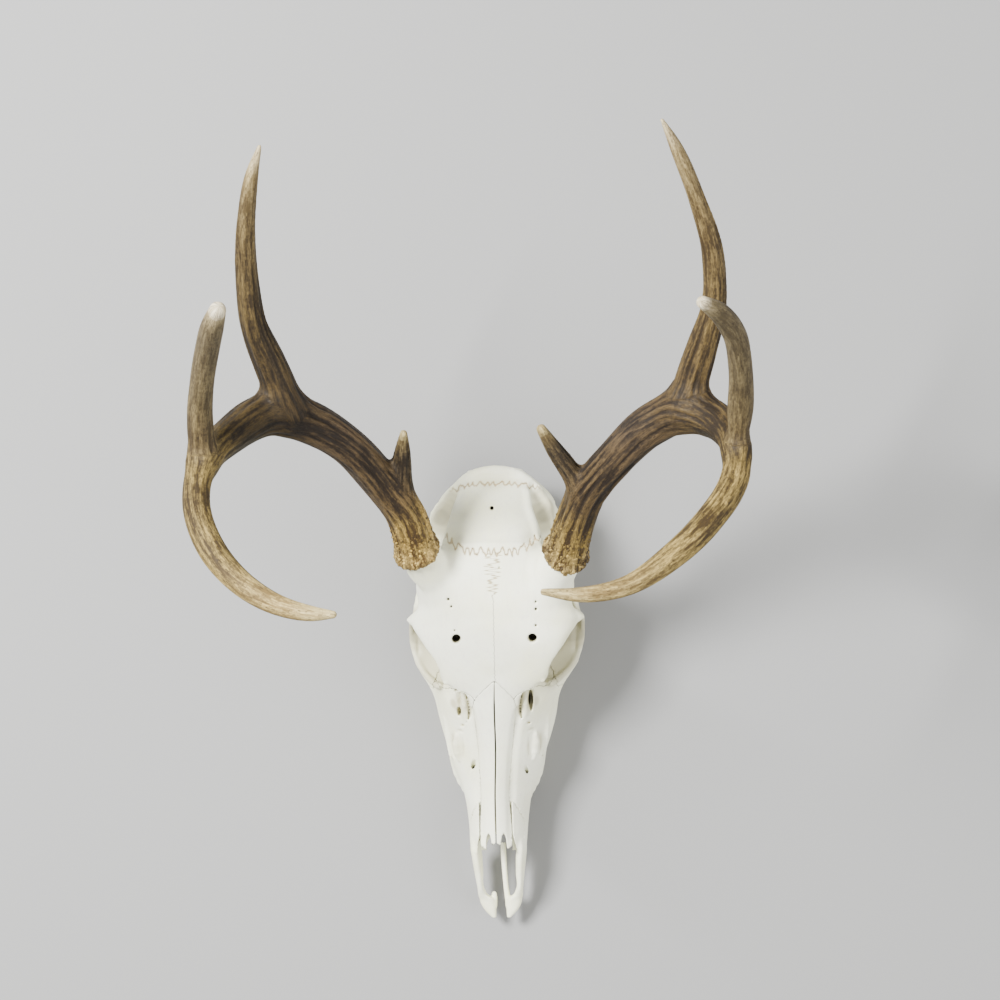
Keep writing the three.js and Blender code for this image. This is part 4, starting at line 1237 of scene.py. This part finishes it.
def pearl_nodes():
    """Geometry nodes that scatter round grains where the mesh's grains attribute is high, half sunk in."""
    group = bpy.data.node_groups.new("pearls", "GeometryNodeTree")
    for name, kind in (
        ("Geometry", "Geometry"), ("Density", "Float"), ("Smallest", "Float"), ("Largest", "Float"),
        ("Seed", "Int"), ("Finish", "Material"),
    ):
        group.interface.new_socket(name, in_out="INPUT", socket_type="NodeSocket" + kind)
    group.interface.new_socket("Geometry", in_out="OUTPUT", socket_type="NodeSocketGeometry")
    start = Sock(group, None)
    given = {out.socket.name: out for out in start.node("NodeGroupInput")}
    grains = start.node("GeometryNodeInputNamedAttribute", {"data_type": "FLOAT"}, Name="grains")[0]
    spread = start.node(
        "GeometryNodeDistributePointsOnFaces", Mesh=given["Geometry"], Density=grains * given["Density"],
        Seed=given["Seed"],
    )
    least, most, seed = given["Smallest"], given["Largest"], given["Seed"]
    sizes = start.node("FunctionNodeRandomValue", _2=least, _3=most, _8=seed)[1]
    grain = start.node("GeometryNodeMeshIcoSphere", Radius=1.0, Subdivisions=2)[0]
    scale = start.node("ShaderNodeCombineXYZ", X=sizes, Y=sizes * 1.5, Z=sizes * 0.6)[0]
    placed = start.node(
        "GeometryNodeInstanceOnPoints", Points=spread[0], Instance=grain, Rotation=spread[2], Scale=scale,
    )
    raised = start.node(
        "GeometryNodeStoreNamedAttribute", {"data_type": "FLOAT", "domain": "INSTANCE"}, Geometry=placed[0],
        Name="ridge", Value=0.25,
    )
    solid = start.node("GeometryNodeRealizeInstances", Geometry=raised[0])[0]
    solid = start.node("GeometryNodeSetShadeSmooth", Geometry=solid)[0]
    solid = start.node("GeometryNodeSetMaterial", Geometry=solid, Material=given["Finish"])[0]
    join = group.nodes.new("GeometryNodeJoinGeometry")
    for part in (solid, given["Geometry"]):
        group.links.new(part.socket, join.inputs[0])
    group.links.new(join.outputs[0], group.nodes.new("NodeGroupOutput").inputs[0])
    return group


pearls = pearl_nodes()


def grow_pearls(piece, seed):
    """Grows the grains of the burr and the lower beam on an antler, then keeps them as plain mesh."""
    modifier = piece.modifiers.new("pearls", "NODES")
    modifier.node_group = pearls
    values = {"Density": 2.4e5, "Smallest": 0.00035, "Largest": 0.0009, "Seed": seed, "Finish": antler_finish}
    for socket in pearls.interface.items_tree:
        if socket.in_out == "INPUT" and socket.name in values:
            modifier[socket.identifier] = values[socket.name]
    made = bpy.data.meshes.new_from_object(piece.evaluated_get(bpy.context.evaluated_depsgraph_get()))
    piece.modifiers.clear()
    piece.data = made


def ridges(angle, gone, draws):
    """Ridges along a beam or tine: waves round it, from coarse to fine, that wander and fade."""
    turn = 6.3
    waves = np.zeros(len(angle))
    for count in range(3, 23):
        phase = draws.uniform(0, turn)
        drift = draws.uniform(0.3, 0.9) * np.sin(gone / draws.uniform(25, 60) + draws.uniform(0, turn))
        fades = 0.55 + 0.45 * np.sin(gone / draws.uniform(10, 40) + draws.uniform(0, turn))
        waves += fades * np.sin(count * angle + phase + drift * count * 0.35) / count**0.3
    return waves / 2.6


def antler(side):
    """One antler: its body, then at each point the ridges and colours of the beam and tines near it."""
    plan = ANTLERS[side]
    centre = np.array(BURRS[side], float)
    lines = {name: course(rows, LINE_STEP) for name, rows in plan.items()}
    every = np.concatenate(list(lines.values()))
    shape = Field(every[:, :3].min(0) - 20, every[:, :3].max(0) + 16, ANTLER_STEP)
    for name, blend in JOINS.items():
        shape.add(bar(plan[name], step=4), blend)
    burr(shape, side)
    points, faces = without_crumbs(*shape.surface(2))
    out = normals(points, faces)
    draws = np.random.default_rng(7 if side == "right" else 11)
    weight, height = np.zeros(len(points)), np.zeros(len(points))
    pale, deep, run = (np.zeros((len(points), 3)) for _ in range(3))
    nearest = np.full(len(points), FAR)
    for name, line in lines.items():
        across, up = frames(line)
        tree = KDTree(len(line))
        for i, p in enumerate(line):
            tree.insert(p[:3], i)
        tree.balance()
        index = np.array([tree.find(p)[1] for p in points])
        off = points - line[index, :3]
        radius = line[index, 3]
        angle = np.arctan2((off * up[index]).sum(1), (off * across[index]).sum(1))
        gone = index * LINE_STEP
        clear = np.linalg.norm(off, axis=1) - radius
        share = gone / gone.max()
        w = np.exp(-np.clip(clear, -2, 12) / 1.2)
        weight += w
        height += w * ridges(angle, gone, draws) * np.interp(share, RIDGE_PLACES, RIDGE_HEIGHTS[name])
        places, tops, bottoms = zip(*TONES[name])
        weather = np.interp(share, *WEATHER.get((side, name), EVEN))
        for i in range(3):
            pale[:, i] += w * weather * np.interp(share, places, [c[i] for c in tops])
            deep[:, i] += w * weather * np.interp(share, places, [c[i] for c in bottoms])
        # The streaks follow whichever beam or tine is nearest, drawn out along it, and differ from one
        # to the next.
        first = clear < nearest
        far_on = gone * 0.14 + 37 * len(name)
        here = np.stack([np.cos(angle) * radius, np.sin(angle) * radius, far_on], 1)
        run[first] = here[first]
        nearest = np.minimum(nearest, clear)
    height /= weight
    pale, deep = pale / weight[:, None], deep / weight[:, None]
    away = np.linalg.norm(points - centre, axis=1)
    rim = fade(np.abs(away - 15), 4, 1.5) * fade(points[:, 2], 130, 120)
    pale = pale + (np.array(WEATHERED_BURR) - pale) * (rim * 0.7)[:, None]
    points = points + out * (height * HIGHEST_RIDGE)[:, None]
    grains = np.clip(1.4 - np.linalg.norm(points - centre, axis=1) / 32, 0, 1) ** 2
    at = points * MM + ORIGIN
    piece = mesh_piece(f"{side}_antler", at, faces, antler_finish, ridge=height, grains=grains)
    for key, values in (("run", run), ("pale", pale), ("deep", deep)):
        layer = piece.data.attributes.new(key, "FLOAT_VECTOR", "POINT")
        layer.data.foreach_set("vector", values.astype(np.float32).ravel())
    grow_pearls(piece, 3 if side == "right" else 5)
    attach(piece, "root")
    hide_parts(*[f"{side}_{part}" for part in PARTS])


for side in SIDES:
    antler(side)


# ---- Table, light and camera -------------------------------------------------------------------------
# A plain pale table. A soft lamp stands behind the skull's right side and a broad, weak one in front of
# its left, and the camera looks straight down.

bpy.ops.mesh.primitive_plane_add(size=8, location=(0, 0, -0.0005))
floor = bpy.context.object
floor.name = "table"
paper = bpy.data.materials.new("table")
paper.use_nodes = True
paper.node_tree.nodes["Principled BSDF"].inputs["Base Color"].default_value = (0.25, 0.25, 0.245, 1)
paper.node_tree.nodes["Principled BSDF"].inputs["Roughness"].default_value = 0.8
floor.data.materials.append(paper)


def softbox(name, at, size, power):
    """A square lamp that shines at the skull."""
    lamp = bpy.data.lights.new(name, "AREA")
    lamp.size = size
    lamp.energy = power
    made = bpy.data.objects.new(name, lamp)
    made.location = at
    made.rotation_euler = (Vector((0, 0, 0.1)) - Vector(at)).to_track_quat("-Z", "Y").to_euler()
    bpy.context.scene.collection.objects.link(made)


softbox("key", (-0.92, 0.5, 1.5), 0.5, 130)
softbox("fill", (1.5, -0.45, 1.35), 1.6, 42)
world = bpy.data.worlds.new("studio")
world.use_nodes = True
world.node_tree.nodes["Background"].inputs["Color"].default_value = (1, 1, 1, 1)
world.node_tree.nodes["Background"].inputs["Strength"].default_value = 0.8
bpy.context.scene.world = world

lens = bpy.data.cameras.new("camera")
lens.lens = 108
lens.sensor_width = 36
camera = bpy.data.objects.new("camera", lens)
camera.location = (0.0168, 0.0307, 1.9)
camera.rotation_euler = (0, 0, math.radians(-1.08))
bpy.context.scene.collection.objects.link(camera)
bpy.context.scene.camera = camera
